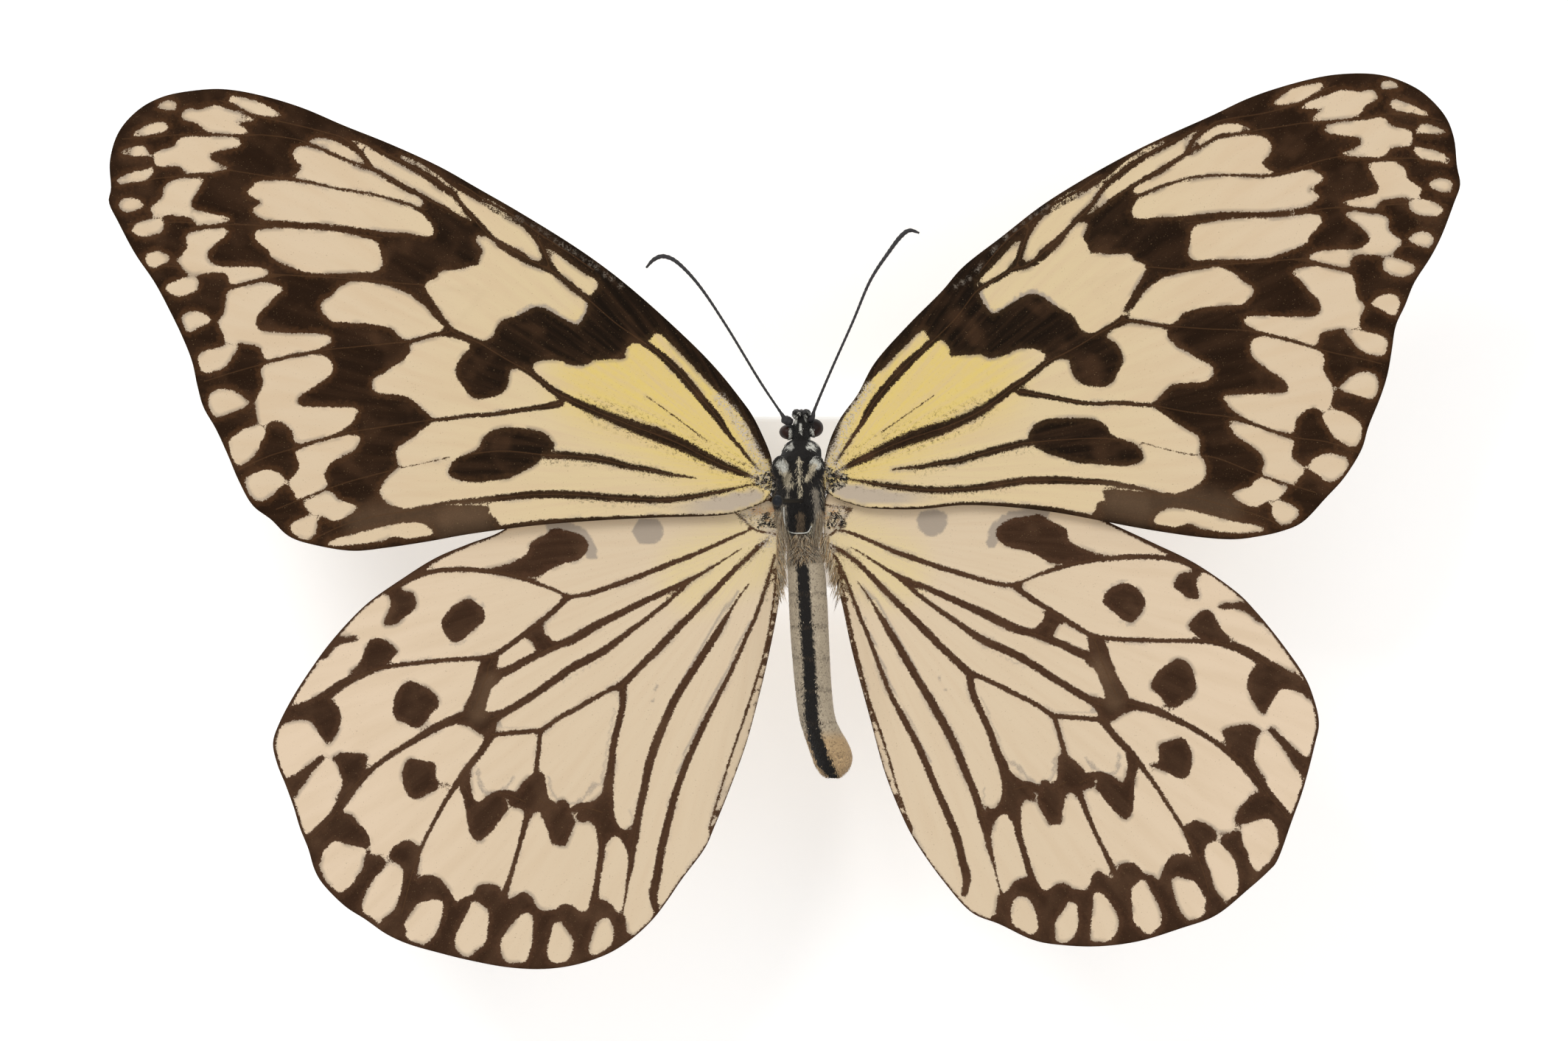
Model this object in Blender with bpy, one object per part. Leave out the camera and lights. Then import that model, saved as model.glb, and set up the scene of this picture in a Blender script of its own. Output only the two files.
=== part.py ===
import math

import bmesh
import bpy
from mathutils import Vector, geometry

MM = 0.001
GAP = 0.3

# Base and rod that hold the butterfly up.
BASE_WIDTH = 46.0
BASE_DEPTH = 17.0
BASE_HEIGHT = 5.0
BASE_CORNER = 3.0
BASE_CHAMFER = 0.6
ROD_RADIUS = 0.75
ROD_FACETS = 20

# Body stations from the front of the head to the tip of the abdomen:
# y, centre x, half width, centre z, half height.
BODY_STATIONS = (
    (8.15, -0.02, 0.30, 24.95, 0.40),
    (7.90, -0.02, 0.70, 24.95, 0.85),
    (7.40, -0.02, 0.95, 25.00, 1.20),
    (6.70, -0.03, 1.02, 25.05, 1.38),
    (6.10, -0.05, 1.00, 25.10, 1.38),
    (5.90, -0.04, 1.02, 25.10, 1.38),
    (5.65, 0.00, 1.55, 25.15, 1.55),
    (5.30, 0.02, 1.85, 25.20, 1.75),
    (4.75, -0.05, 1.98, 25.35, 2.10),
    (4.20, -0.25, 2.10, 25.35, 2.50),
    (3.40, -0.30, 2.42, 25.25, 2.90),
    (2.20, -0.30, 2.62, 25.10, 3.18),
    (0.80, -0.28, 2.68, 25.00, 3.28),
    (-0.80, -0.20, 2.52, 24.95, 3.15),
    (-2.00, -0.08, 2.15, 24.90, 2.70),
    (-2.90, 0.02, 1.72, 24.85, 2.15),
    (-3.60, 0.08, 1.48, 24.80, 1.85),
    (-4.60, 0.20, 1.62, 24.75, 1.90),
    (-6.50, 0.45, 1.88, 24.70, 2.00),
    (-9.50, 0.62, 1.95, 24.65, 2.02),
    (-13.50, 0.82, 1.92, 24.60, 1.98),
    (-17.50, 1.10, 1.84, 24.55, 1.90),
    (-20.50, 1.45, 1.80, 24.50, 1.84),
    (-22.00, 1.90, 1.88, 24.45, 1.86),
    (-23.20, 2.45, 2.02, 24.42, 1.92),
    (-24.50, 2.92, 2.05, 24.40, 1.90),
    (-25.60, 3.02, 1.72, 24.38, 1.58),
    (-26.30, 3.02, 1.15, 24.36, 1.05),
    (-26.75, 3.02, 0.35, 24.35, 0.35),
)
RING_FACETS = 24

# Cuts that part the body into its nodes.
NECK_CUT = 5.80
COLLAR_CUT = 4.62
WAIST_CUT = -3.35
TIP_CUT = -22.20

EYE_FACE = 1.32
EYE_BULGE = 0.86
LEFT_EYE_REACH = (0.70, 1.00)
RIGHT_EYE_REACH = (0.88, 1.00)
LEFT_EYE_CENTRE = (-0.03, 6.66, 25.05)
RIGHT_EYE_CENTRE = (-0.03, 7.05, 25.05)

# Control points of each antenna: x, y, z, radius.
LEFT_ANTENNA = (
    (-1.25, 7.75, 25.85, 0.34),
    (-1.62, 7.90, 26.05, 0.44),
    (-2.00, 8.50, 26.30, 0.28),
    (-4.10, 11.65, 27.00, 0.25),
    (-7.10, 16.60, 27.80, 0.25),
    (-9.70, 20.50, 28.30, 0.26),
    (-11.80, 22.80, 28.50, 0.29),
    (-13.20, 23.50, 28.55, 0.31),
    (-14.20, 23.20, 28.50, 0.30),
    (-14.95, 22.40, 28.45, 0.20),
)
RIGHT_ANTENNA = (
    (1.05, 7.95, 25.85, 0.34),
    (1.15, 8.30, 26.10, 0.42),
    (1.30, 8.95, 26.35, 0.28),
    (2.80, 12.50, 27.00, 0.25),
    (4.90, 17.20, 27.80, 0.25),
    (6.60, 21.20, 28.30, 0.26),
    (8.50, 24.10, 28.50, 0.29),
    (9.60, 25.50, 28.55, 0.31),
    (10.40, 26.00, 28.55, 0.30),
    (11.30, 25.75, 28.50, 0.20),
)
ANTENNA_FACETS = 8

PALP = (
    (0.42, 8.40, 23.75, 0.30),
    (0.44, 8.62, 24.40, 0.40),
    (0.46, 8.66, 25.10, 0.36),
    (0.48, 8.60, 25.75, 0.18),
)
PALP_FACETS = 10

PROBOSCIS_CENTRE = (-0.02, 7.00, 21.45)
PROBOSCIS_INNER = 0.35
PROBOSCIS_PITCH = 0.85
PROBOSCIS_TURNS = 1.6
PROBOSCIS_RADIUS = 0.26
PROBOSCIS_FACETS = 8

TEGULA_CENTRE = (1.78, 3.30, 28.25)
TEGULA_REACH = (0.75, 1.15, 0.32)

# Control points of the legs on the right side: x, y, z, radius.
FORE_LEG = (
    (0.70, 3.60, 22.05, 0.36),
    (0.95, 4.60, 21.30, 0.30),
    (0.85, 5.40, 21.55, 0.27),
    (0.80, 5.00, 20.75, 0.25),
)
MIDDLE_LEG = (
    (1.15, 1.70, 21.80, 0.44),
    (1.55, 2.30, 20.90, 0.40),
    (1.75, 3.60, 20.30, 0.34),
    (1.75, 4.20, 19.70, 0.30),
    (1.75, 2.40, 18.90, 0.28),
    (1.70, 0.20, 18.50, 0.27),
    (1.50, -2.40, 18.30, 0.25),
)
HIND_LEG = (
    (1.10, -0.90, 21.85, 0.44),
    (1.30, -1.80, 21.10, 0.40),
    (1.15, -3.60, 21.00, 0.34),
    (1.25, -6.20, 21.30, 0.30),
    (1.35, -8.60, 21.40, 0.28),
    (1.35, -11.40, 21.40, 0.27),
    (1.30, -13.60, 21.35, 0.25),
)
LEG_FACETS = 8

PIN_FOOT = (0.0, 0.0, 28.75)
PIN_TOP = (-2.32, 0.0, 34.90)
PIN_RADIUS = 0.25
PIN_HEAD_RADIUS = 0.56

WING_THICKNESS = 0.5
RIDGE_HEIGHT = 0.24
RIDGE_REACH = 0.42
RIDGE_FROM_MARGIN = 0.5
VEIN_STEP = 3.4
MARGIN_STEP = 2.0
MERGE = 0.02
FOREWING_ROOT_Z = 26.75
HINDWING_DROP = 1.3
WING_RISE = 0.052
WING_CAMBER = 0.00048
# The hind wing bends down beside the abdomen: depth, reach from its inner edge,
# and the lengths over which the bend grows and fades.
INNER_FOLD = 1.1
INNER_FOLD_REACH = 3.2
FOLD_FRONT = -3.5
FOLD_GROWTH = 4.0
FOLD_BACK = -36.0
FOLD_FADE = 14.0
INNER_EDGE_POINTS = 12

# Where a wing's root lies beside the body, and the heights at which it is
# kept clear of it, from the wing's middle.
ROOT_FRONT = 8.0
ROOT_BACK = -27.0
ROOT_REACH = 8.0
ROOT_LIFTS = (-0.35, 0.0, 0.6)

# Wing margins, x outward from the middle and y forward, from the front of the
# root round the tip to the back of the root.
LEFT_FOREWING = (
    (2.75, 3.3), (3.15, 5.0), (4.57, 8.0), (6.0, 10.05), (8.1, 12.6),
    (10.6, 15.2), (14.6, 18.9), (18.2, 21.9), (22.0, 24.6), (27.0, 27.7),
    (31.0, 30.0), (34.9, 32.2), (39.5, 34.3), (44.0, 36.1), (48.0, 37.8),
    (52.0, 39.0), (55.6, 39.55), (58.9, 39.35), (61.6, 38.85), (63.9, 37.5),
    (65.7, 35.4), (66.5, 32.7), (66.4, 30.1), (66.55, 28.7), (65.7, 26.8),
    (64.1, 23.8), (62.2, 21.0), (60.7, 18.2), (59.5, 15.7), (58.6, 13.4),
    (58.1, 11.1), (57.5, 9.0), (56.3, 6.9), (55.2, 4.5), (54.1, 1.9),
    (52.8, -0.35), (51.0, -1.85), (49.3, -3.35), (47.0, -4.25), (43.3, -4.75),
    (39.9, -4.5), (35.9, -3.9), (32.0, -3.2), (26.0, -2.4), (19.9, -1.9),
    (13.9, -1.55), (8.0, -1.35), (5.6, -0.85), (3.65, 0.0), (2.75, 1.2),
)
RIGHT_FOREWING = (
    (2.1, 3.3), (2.7, 5.8), (3.8, 8.1), (5.4, 10.3), (7.1, 13.4),
    (10.3, 17.0), (13.4, 20.1), (15.6, 22.6), (19.2, 25.4), (23.2, 28.5),
    (27.7, 31.3), (32.1, 33.7), (35.7, 35.4), (39.3, 37.0), (42.9, 38.7),
    (46.4, 39.9), (50.0, 40.8), (52.8, 41.1), (55.4, 41.0), (57.6, 40.4),
    (59.8, 39.2), (61.8, 37.1), (62.7, 34.9), (63.0, 32.2), (63.3, 30.4),
    (62.7, 28.6), (61.6, 25.7), (60.5, 23.5), (58.9, 21.0), (58.0, 18.8),
    (57.1, 16.8), (56.7, 14.3), (56.3, 12.1), (55.6, 9.9), (54.5, 7.2),
    (53.8, 4.9), (52.2, 2.3), (50.4, 0.3), (48.2, -2.0), (46.2, -2.9),
    (44.0, -3.4), (41.5, -3.7), (38.4, -3.5), (34.8, -3.0), (31.3, -2.4),
    (25.0, -1.2), (20.1, -0.55), (15.6, -0.4), (11.2, -0.8), (6.7, -0.7),
    (4.5, -0.2), (2.9, 0.5), (2.1, 1.4),
)
LEFT_HINDWING = (
    (2.75, 0.3), (4.5, 1.2), (8.0, 2.1), (13.0, 2.4), (18.0, 1.8),
    (23.0, 0.3), (26.5, -1.4), (29.3, -3.05), (32.0, -4.1), (35.3, -5.5),
    (38.5, -7.5), (41.5, -9.6), (43.6, -11.6), (45.6, -13.9), (47.4, -16.4),
    (49.0, -18.9), (50.3, -21.4), (50.9, -23.3), (50.5, -25.3), (49.7, -27.3),
    (48.9, -29.5), (48.3, -31.5), (47.5, -33.5), (46.9, -35.5), (46.0, -37.0),
    (44.0, -39.0), (42.0, -40.3), (40.0, -41.7), (37.8, -42.7), (35.0, -43.5),
    (32.2, -44.2), (28.5, -44.9), (25.0, -45.05), (21.8, -44.7), (18.8, -43.7),
    (16.5, -42.3), (14.5, -40.5), (13.0, -38.6), (11.5, -36.4), (9.4, -33.6),
    (8.4, -31.4), (6.9, -27.7), (5.4, -23.6), (4.4, -20.0), (3.6, -16.8),
    (2.9, -13.6), (2.3, -10.4), (1.95, -7.6), (1.95, -5.6), (2.0, -4.0),
)
RIGHT_HINDWING = (
    (2.35, 0.6), (4.5, 1.7), (8.0, 2.9), (12.5, 3.4), (17.0, 3.0),
    (22.0, 1.6), (26.0, -0.3), (29.7, -2.1), (33.8, -4.0), (37.9, -6.0),
    (41.8, -8.7), (43.7, -10.6), (45.3, -12.5), (46.9, -14.6), (48.2, -16.5),
    (49.1, -18.4), (49.75, -21.2), (49.4, -23.5), (48.3, -27.7), (47.2, -30.8),
    (45.9, -34.4), (45.0, -35.6), (43.0, -37.4), (39.9, -39.9), (36.4, -41.2),
    (32.5, -42.4), (28.7, -42.9), (25.2, -42.8), (22.3, -42.3), (19.1, -40.8),
    (16.3, -39.6), (13.7, -36.7), (11.2, -33.2), (9.7, -30.4), (8.0, -26.1),
    (6.5, -20.6), (5.3, -16.2), (4.6, -13.3), (3.95, -10.4), (3.3, -7.6),
    (2.75, -5.6), (2.2, -4.0),
)

# Main veins of the left wings; the right wings carry the same veins, turned
# and drawn to fit by the two tie points of each wing.
FOREWING_VEINS = (
    ((3.9, 2.8), (5.9, 5.1), (8.1, 8.0), (12.0, 12.6), (16.0, 15.9),
     (20.0, 19.0), (24.0, 22.1), (28.0, 24.3), (31.0, 26.4), (34.0, 28.0),
     (38.5, 30.3), (43.0, 32.4), (48.0, 34.2), (54.0, 35.1), (65.2, 34.8)),
    ((4.3, 2.2), (8.0, 3.5), (12.0, 5.6), (16.0, 7.1), (20.0, 8.7),
     (23.5, 10.3), (26.5, 12.6), (30.0, 14.6), (33.7, 16.3), (37.5, 15.5),
     (42.0, 14.9), (47.0, 14.4), (51.5, 13.2), (57.2, 11.6)),
    ((4.0, 1.6), (7.0, 1.2), (9.5, 0.6), (13.0, 0.2), (18.0, 0.35),
     (24.0, 0.7), (30.0, 0.2), (36.0, -0.6), (42.0, -1.7), (46.6, -3.5)),
    ((23.5, 9.4), (26.5, 8.7), (32.0, 8.0), (38.0, 7.6), (44.0, 6.4),
     (48.0, 5.3), (54.4, 3.6)),
    ((34.2, 17.0), (36.2, 19.6), (39.0, 21.0), (44.0, 21.7), (50.0, 21.6),
     (55.5, 20.7), (61.2, 19.9)),
    ((37.2, 22.6), (36.4, 25.0), (41.0, 25.9), (48.0, 26.4), (54.0, 26.6),
     (60.0, 26.2), (65.0, 25.7)),
    ((36.0, 27.9), (40.0, 29.2), (46.0, 30.3), (52.0, 31.2), (58.0, 31.5),
     (66.0, 30.6)),
    ((31.2, 27.2), (34.4, 30.0), (40.0, 32.8), (46.0, 35.5), (53.0, 37.9)),
    ((24.2, 22.9), (25.2, 24.9), (29.0, 28.1), (35.0, 31.2)),
)
HINDWING_VEINS = (
    ((5.2, -2.9), (9.0, -4.4), (14.0, -6.5), (19.0, -8.3), (22.6, -9.1),
     (26.0, -12.2), (29.5, -14.7), (35.0, -15.3), (41.0, -16.3),
     (46.0, -18.9), (49.4, -20.6)),
    ((22.9, -8.9), (26.0, -7.5), (31.0, -6.7), (36.0, -6.9), (39.6, -8.8)),
    ((8.5, -6.3), (12.0, -8.2), (17.0, -10.9), (22.0, -13.6), (26.5, -15.6),
     (29.8, -16.3), (30.9, -20.6)),
    ((11.0, -8.2), (15.0, -11.4), (19.0, -14.7), (24.0, -17.4),
     (28.5, -20.2), (32.0, -20.7), (37.0, -22.7), (42.0, -26.0),
     (45.4, -30.3), (47.2, -33.0)),
    ((3.4, -3.9), (7.0, -7.4), (11.0, -11.4), (15.0, -15.3), (17.3, -17.5),
     (21.5, -19.9), (25.0, -22.2), (30.2, -22.7), (33.5, -27.6),
     (36.6, -33.5), (37.9, -39.4), (39.0, -41.7)),
    ((17.3, -17.6), (17.6, -21.0), (18.5, -26.5), (19.3, -32.5),
     (19.9, -38.0), (21.3, -43.8)),
    ((25.1, -22.6), (25.7, -27.0), (26.8, -31.5), (28.4, -37.8),
     (29.6, -44.0)),
    ((5.0, -7.7), (7.0, -11.2), (10.0, -15.3), (13.0, -20.6), (14.8, -26.0),
     (16.2, -33.0), (17.2, -38.5), (17.8, -42.2)),
    ((2.9, -6.3), (4.2, -10.4), (6.6, -16.0), (10.0, -22.8), (12.2, -28.5),
     (13.6, -35.4), (14.4, -39.6)),
)

# Tie points: two places on the left wing and the same two on the right.
FOREWING_TIES = (((33.7, 16.3), (61.2, 19.9)), ((31.0, 17.5), (59.0, 21.6)))
HINDWING_TIES = (((17.3, -17.5), (45.4, -30.3)), ((16.1, -16.5), (45.1, -28.4)))


def to_world(points):
    return [(x * MM, y * MM, z * MM) for x, y, z in points]


def paint(body, colour, roughness, metallic=0.0):
    material = bpy.data.materials.new(body.name)
    material.use_nodes = True
    shader = material.node_tree.nodes["Principled BSDF"]
    shader.inputs["Base Color"].default_value = (*colour, 1.0)
    shader.inputs["Roughness"].default_value = roughness
    shader.inputs["Metallic"].default_value = metallic
    body.data.materials.append(material)


def add_body(name, points, faces):
    mesh = bpy.data.meshes.new(name)
    mesh.from_pydata(to_world(points), [], faces)
    form = bmesh.new()
    form.from_mesh(mesh)
    bmesh.ops.recalc_face_normals(form, faces=form.faces)
    if form.calc_volume(signed=True) < 0:
        bmesh.ops.reverse_faces(form, faces=form.faces)
    bmesh.ops.triangulate(form, faces=form.faces)
    form.to_mesh(mesh)
    form.free()
    body = bpy.data.objects.new(name, mesh)
    bpy.context.scene.collection.objects.link(body)
    return body


def catmull(before, start, end, after, share):
    """One coordinate of a smooth curve that passes through start and end."""
    square = share * share
    cube = square * share
    return 0.5 * (
        2 * start
        + (end - before) * share
        + (2 * before - 5 * start + 4 * end - after) * square
        + (3 * start - before - 3 * end + after) * cube
    )


def along(points, place):
    """Point of an open smooth curve at a place from 0 to the last index."""
    last = len(points) - 1
    index = min(int(place), last - 1)
    share = place - index
    before = points[max(index - 1, 0)]
    after = points[min(index + 2, last)]
    start = points[index]
    end = points[index + 1]
    return tuple(
        catmull(before[k], start[k], end[k], after[k], share)
        for k in range(len(start))
    )


def resample(points, step):
    """Points about a step apart along the smooth curve through these."""
    fine = [
        along(points, i / 8) for i in range(8 * (len(points) - 1) + 1)
    ]
    lengths = [0.0]
    for a, b in zip(fine, fine[1:]):
        lengths.append(lengths[-1] + math.dist(a[:2], b[:2]))
    count = max(2, round(lengths[-1] / step))
    found = []
    index = 0
    for i in range(count + 1):
        wanted = lengths[-1] * i / count
        while index < len(fine) - 2 and lengths[index + 1] < wanted:
            index += 1
        span = lengths[index + 1] - lengths[index]
        share = (wanted - lengths[index]) / span if span else 0.0
        a = fine[index]
        b = fine[index + 1]
        found.append(tuple(p + (q - p) * share for p, q in zip(a, b)))
    return found


def body_at(y):
    """Centre x, half width, centre z and half height of the body at y."""
    for i in range(len(BODY_STATIONS) - 1):
        if BODY_STATIONS[i + 1][0] <= y:
            break
    top = BODY_STATIONS[i][0]
    bottom = BODY_STATIONS[i + 1][0]
    share = min(max((top - y) / (top - bottom), 0.0), 1.0)
    return along(BODY_STATIONS, i + share)[1:]


def body_side(y, z, side):
    """How far the body reaches at this y and z, outward on this side."""
    centre, width, middle, height = body_at(y)
    rise = min(abs(z - middle) / height, 1.0)
    return width * math.sqrt(1.0 - rise * rise) + side * centre


def loft_body(name, front, back, step):
    """A length of the body between two cuts across it."""
    count = max(2, round((front - back) / step))
    points = []
    for i in range(count + 1):
        y = front + (back - front) * i / count
        centre, width, middle, height = body_at(y)
        for k in range(RING_FACETS):
            turn = 2 * math.pi * k / RING_FACETS
            points.append((
                centre + width * math.cos(turn),
                y,
                middle + height * math.sin(turn),
            ))
    faces = [tuple(range(RING_FACETS))]
    for i in range(count):
        for k in range(RING_FACETS):
            after = (k + 1) % RING_FACETS
            here = i * RING_FACETS
            there = here + RING_FACETS
            faces.append((here + k, here + after, there + after, there + k))
    faces.append(tuple(count * RING_FACETS + k for k in range(RING_FACETS)))
    return add_body(name, points, faces)


def sweep(name, controls, facets, step):
    """A round limb along a smooth curve with a radius at each point."""
    line = resample(controls, step) if step else list(controls)
    points = []
    side = None
    for i, (x, y, z, radius) in enumerate(line):
        before = Vector(line[max(i - 1, 0)][:3])
        after = Vector(line[min(i + 1, len(line) - 1)][:3])
        forward = (after - before).normalized()
        if side is None:
            side = forward.orthogonal().normalized()
        side = (side - forward * side.dot(forward)).normalized()
        up = forward.cross(side)
        for k in range(facets):
            turn = 2 * math.pi * k / facets
            offset = side * math.cos(turn) + up * math.sin(turn)
            points.append(tuple(Vector((x, y, z)) + offset * radius))
    faces = [tuple(range(facets))]
    for i in range(len(line) - 1):
        for k in range(facets):
            after = (k + 1) % facets
            here = i * facets
            there = here + facets
            faces.append((here + k, here + after, there + after, there + k))
    faces.append(tuple((len(line) - 1) * facets + k for k in range(facets)))
    return add_body(name, points, faces)


def ellipsoid(name, centre, reach, turns=16, rings=8):
    points = [(centre[0], centre[1], centre[2] + reach[2])]
    for i in range(1, rings):
        tilt = math.pi * i / rings
        for k in range(turns):
            turn = 2 * math.pi * k / turns
            points.append((
                centre[0] + reach[0] * math.sin(tilt) * math.cos(turn),
                centre[1] + reach[1] * math.sin(tilt) * math.sin(turn),
                centre[2] + reach[2] * math.cos(tilt),
            ))
    points.append((centre[0], centre[1], centre[2] - reach[2]))
    faces = []
    last = len(points) - 1
    for k in range(turns):
        after = (k + 1) % turns
        faces.append((0, 1 + k, 1 + after))
        foot = 1 + (rings - 2) * turns
        faces.append((last, foot + after, foot + k))
        for i in range(rings - 2):
            here = 1 + i * turns
            faces.append((
                here + k, here + turns + k, here + turns + after, here + after,
            ))
    return add_body(name, points, faces)


def eye_dome(name, centre, reach, side):
    """A domed eye whose flat back lies beside the head."""
    turns = 18
    rings = 6
    points = []
    for i in range(rings):
        tilt = 0.5 * math.pi * i / rings
        for k in range(turns):
            turn = 2 * math.pi * k / turns
            points.append((
                centre[0] + side * (EYE_FACE + EYE_BULGE * math.sin(tilt)),
                centre[1] + reach[0] * math.cos(tilt) * math.cos(turn),
                centre[2] + reach[1] * math.cos(tilt) * math.sin(turn),
            ))
    points.append((
        centre[0] + side * (EYE_FACE + EYE_BULGE), centre[1], centre[2],
    ))
    faces = [tuple(range(turns))]
    for i in range(rings - 1):
        for k in range(turns):
            after = (k + 1) % turns
            here = i * turns
            faces.append((
                here + k, here + after, here + turns + after, here + turns + k,
            ))
    foot = (rings - 1) * turns
    for k in range(turns):
        faces.append((foot + k, foot + (k + 1) % turns, len(points) - 1))
    return add_body(name, points, faces)


def coil(name):
    """The feeding tube, rolled up under the head."""
    line = []
    count = 34
    for i in range(count + 1):
        turn = 2 * math.pi * PROBOSCIS_TURNS * i / count
        radius = PROBOSCIS_INNER + PROBOSCIS_PITCH * turn / (2 * math.pi)
        angle = turn - 2 * math.pi * PROBOSCIS_TURNS + math.pi
        line.append((
            PROBOSCIS_CENTRE[0],
            PROBOSCIS_CENTRE[1] - radius * math.cos(angle),
            PROBOSCIS_CENTRE[2] + radius * math.sin(angle),
            PROBOSCIS_RADIUS,
        ))
    end = line[-1]
    line.append((end[0], end[1] - 0.05, end[2] + 0.6, PROBOSCIS_RADIUS))
    line.append((end[0], end[1] - 0.35, end[2] + 1.35, PROBOSCIS_RADIUS))
    return sweep(name, line, PROBOSCIS_FACETS, 0)


def wing_height(x, y, root_z):
    """Middle height of a spread wing, the same rise for both pairs."""
    reach = max(x - 2.5, 0.0)
    return root_z + WING_RISE * reach - WING_CAMBER * reach * reach


def inner_fold(x, y, margin):
    """How far the hind wing bends down along the abdomen."""
    if y > FOLD_FRONT:
        return 0.0
    edge = inner_edge_at(y, margin)
    share = max(0.0, 1.0 - (x - edge) / INNER_FOLD_REACH)
    growth = min(1.0, (FOLD_FRONT - y) / FOLD_GROWTH)
    fade = max(0.0, min(1.0, (y - FOLD_BACK) / FOLD_FADE))
    return INNER_FOLD * share * share * growth * fade


def inner_edge_at(y, margin):
    tail = margin[-INNER_EDGE_POINTS:]
    for (xa, ya), (xb, yb) in zip(tail, tail[1:]):
        if ya <= y <= yb:
            return xa + (xb - xa) * (y - ya) / (yb - ya)
    return tail[0][0] if y < tail[0][1] else tail[-1][0]


def turn_to_right(points, ties):
    """Moves points of a left wing on to the right wing by its tie points."""
    (a, b), (c, d) = ties
    start = complex(*a)
    aim = complex(*c)
    turn = (complex(*d) - aim) / (complex(*b) - start)
    moved = []
    for x, y in points:
        spot = aim + (complex(x, y) - start) * turn
        moved.append((spot.real, spot.imag))
    return moved


def inside(x, y, ring):
    held = False
    for (xa, ya), (xb, yb) in zip(ring, ring[1:] + ring[:1]):
        if (ya > y) != (yb > y):
            if x < xa + (xb - xa) * (y - ya) / (yb - ya):
                held = not held
    return held


def distance_to(x, y, line):
    best = 1e9
    for (xa, ya), (xb, yb) in zip(line, line[1:]):
        dx = xb - xa
        dy = yb - ya
        share = ((x - xa) * dx + (y - ya) * dy) / (dx * dx + dy * dy)
        share = min(max(share, 0.0), 1.0)
        best = min(best, math.hypot(x - xa - share * dx, y - ya - share * dy))
    return best


def clear_of_body(ring, side, root_z):
    """Keeps the root of a wing just clear of the side of the body."""
    kept = []
    for x, y in ring:
        if ROOT_BACK < y < ROOT_FRONT and x < ROOT_REACH:
            for lift in ROOT_LIFTS:
                x = max(x, body_side(y, root_z + lift, side) + GAP)
        kept.append((x, y))
    return kept


def wing(name, margin, veins, side, root_z, folds):
    """One wing: a thin plate with its main veins raised on the upper face."""
    closed = list(margin) + [margin[0]]
    ring = resample(closed, MARGIN_STEP)[:-1]
    ring = clear_of_body(ring, side, root_z)
    lines = [resample(vein, VEIN_STEP) for vein in veins]
    spots = [Vector(p) for p in ring]
    edges = [(i, (i + 1) % len(ring)) for i in range(len(ring))]
    for line in lines:
        rows = ([], [], [])
        for i, (x, y) in enumerate(line):
            before = line[max(i - 1, 0)]
            after = line[min(i + 1, len(line) - 1)]
            length = math.dist(before, after)
            across = ((before[1] - after[1]) / length, (after[0] - before[0]) / length)
            for row, shift in zip(rows, (0.0, RIDGE_REACH, -RIDGE_REACH)):
                spot = (x + across[0] * shift, y + across[1] * shift)
                if not inside(*spot, ring):
                    continue
                if distance_to(*spot, ring + ring[:1]) > RIDGE_FROM_MARGIN:
                    row.append(spot)
        for row in rows:
            first = len(spots)
            spots.extend(Vector(p) for p in row)
            edges.extend((first + k, first + k + 1) for k in range(len(row) - 1))
    flat, _, shapes, _, _, _ = geometry.delaunay_2d_cdt(spots, edges, [], 0, MERGE)
    flat = [(p.x, p.y) for p in flat]
    kept = []
    for shape in shapes:
        x = sum(flat[i][0] for i in shape) / len(shape)
        y = sum(flat[i][1] for i in shape) / len(shape)
        if inside(x, y, ring):
            kept.append(tuple(shape))
    used = sorted({i for shape in kept for i in shape})
    place = {old: new for new, old in enumerate(used)}
    upper = []
    lower = []
    for old in used:
        x, y = flat[old]
        middle = wing_height(x, y, root_z)
        if folds:
            middle -= inner_fold(x, y, margin)
        near = min(distance_to(x, y, line) for line in lines)
        ridge = RIDGE_HEIGHT * max(0.0, 1.0 - near / RIDGE_REACH)
        upper.append((side * x, y, middle + WING_THICKNESS / 2 + ridge))
        lower.append((side * x, y, middle - WING_THICKNESS / 2))
    count = len(used)
    faces = []
    border = {}
    for shape in kept:
        top = [place[i] for i in shape]
        faces.append(tuple(top))
        faces.append(tuple(count + i for i in reversed(top)))
        for a, b in zip(top, top[1:] + top[:1]):
            border[(a, b)] = (b, a) not in border
            if not border[(a, b)]:
                border[(b, a)] = False
    for (a, b), open_edge in border.items():
        if open_edge:
            faces.append((b, a, count + a))
            faces.append((b, count + a, count + b))
    return add_body(name, upper + lower, faces)


def rounded_base(name):
    ring = []
    corner_steps = 6
    half_x = BASE_WIDTH / 2 - BASE_CORNER
    half_y = BASE_DEPTH / 2 - BASE_CORNER
    for quarter, (sx, sy) in enumerate(((1, 1), (-1, 1), (-1, -1), (1, -1))):
        for k in range(corner_steps + 1):
            turn = 0.5 * math.pi * (quarter + k / corner_steps)
            ring.append((sx * half_x, sy * half_y, math.cos(turn), math.sin(turn)))
    points = []
    for z, inset in (
        (0.0, 0.0),
        (BASE_HEIGHT - BASE_CHAMFER, 0.0),
        (BASE_HEIGHT, BASE_CHAMFER),
    ):
        for x, y, cosine, sine in ring:
            reach = BASE_CORNER - inset
            points.append((x + reach * cosine, y + reach * sine, z))
    count = len(ring)
    faces = [tuple(reversed(range(count)))]
    for level in range(2):
        for k in range(count):
            after = (k + 1) % count
            here = level * count
            faces.append((
                here + k, here + after, here + count + after, here + count + k,
            ))
    faces.append(tuple(2 * count + k for k in range(count)))
    return add_body(name, points, faces)


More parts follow.
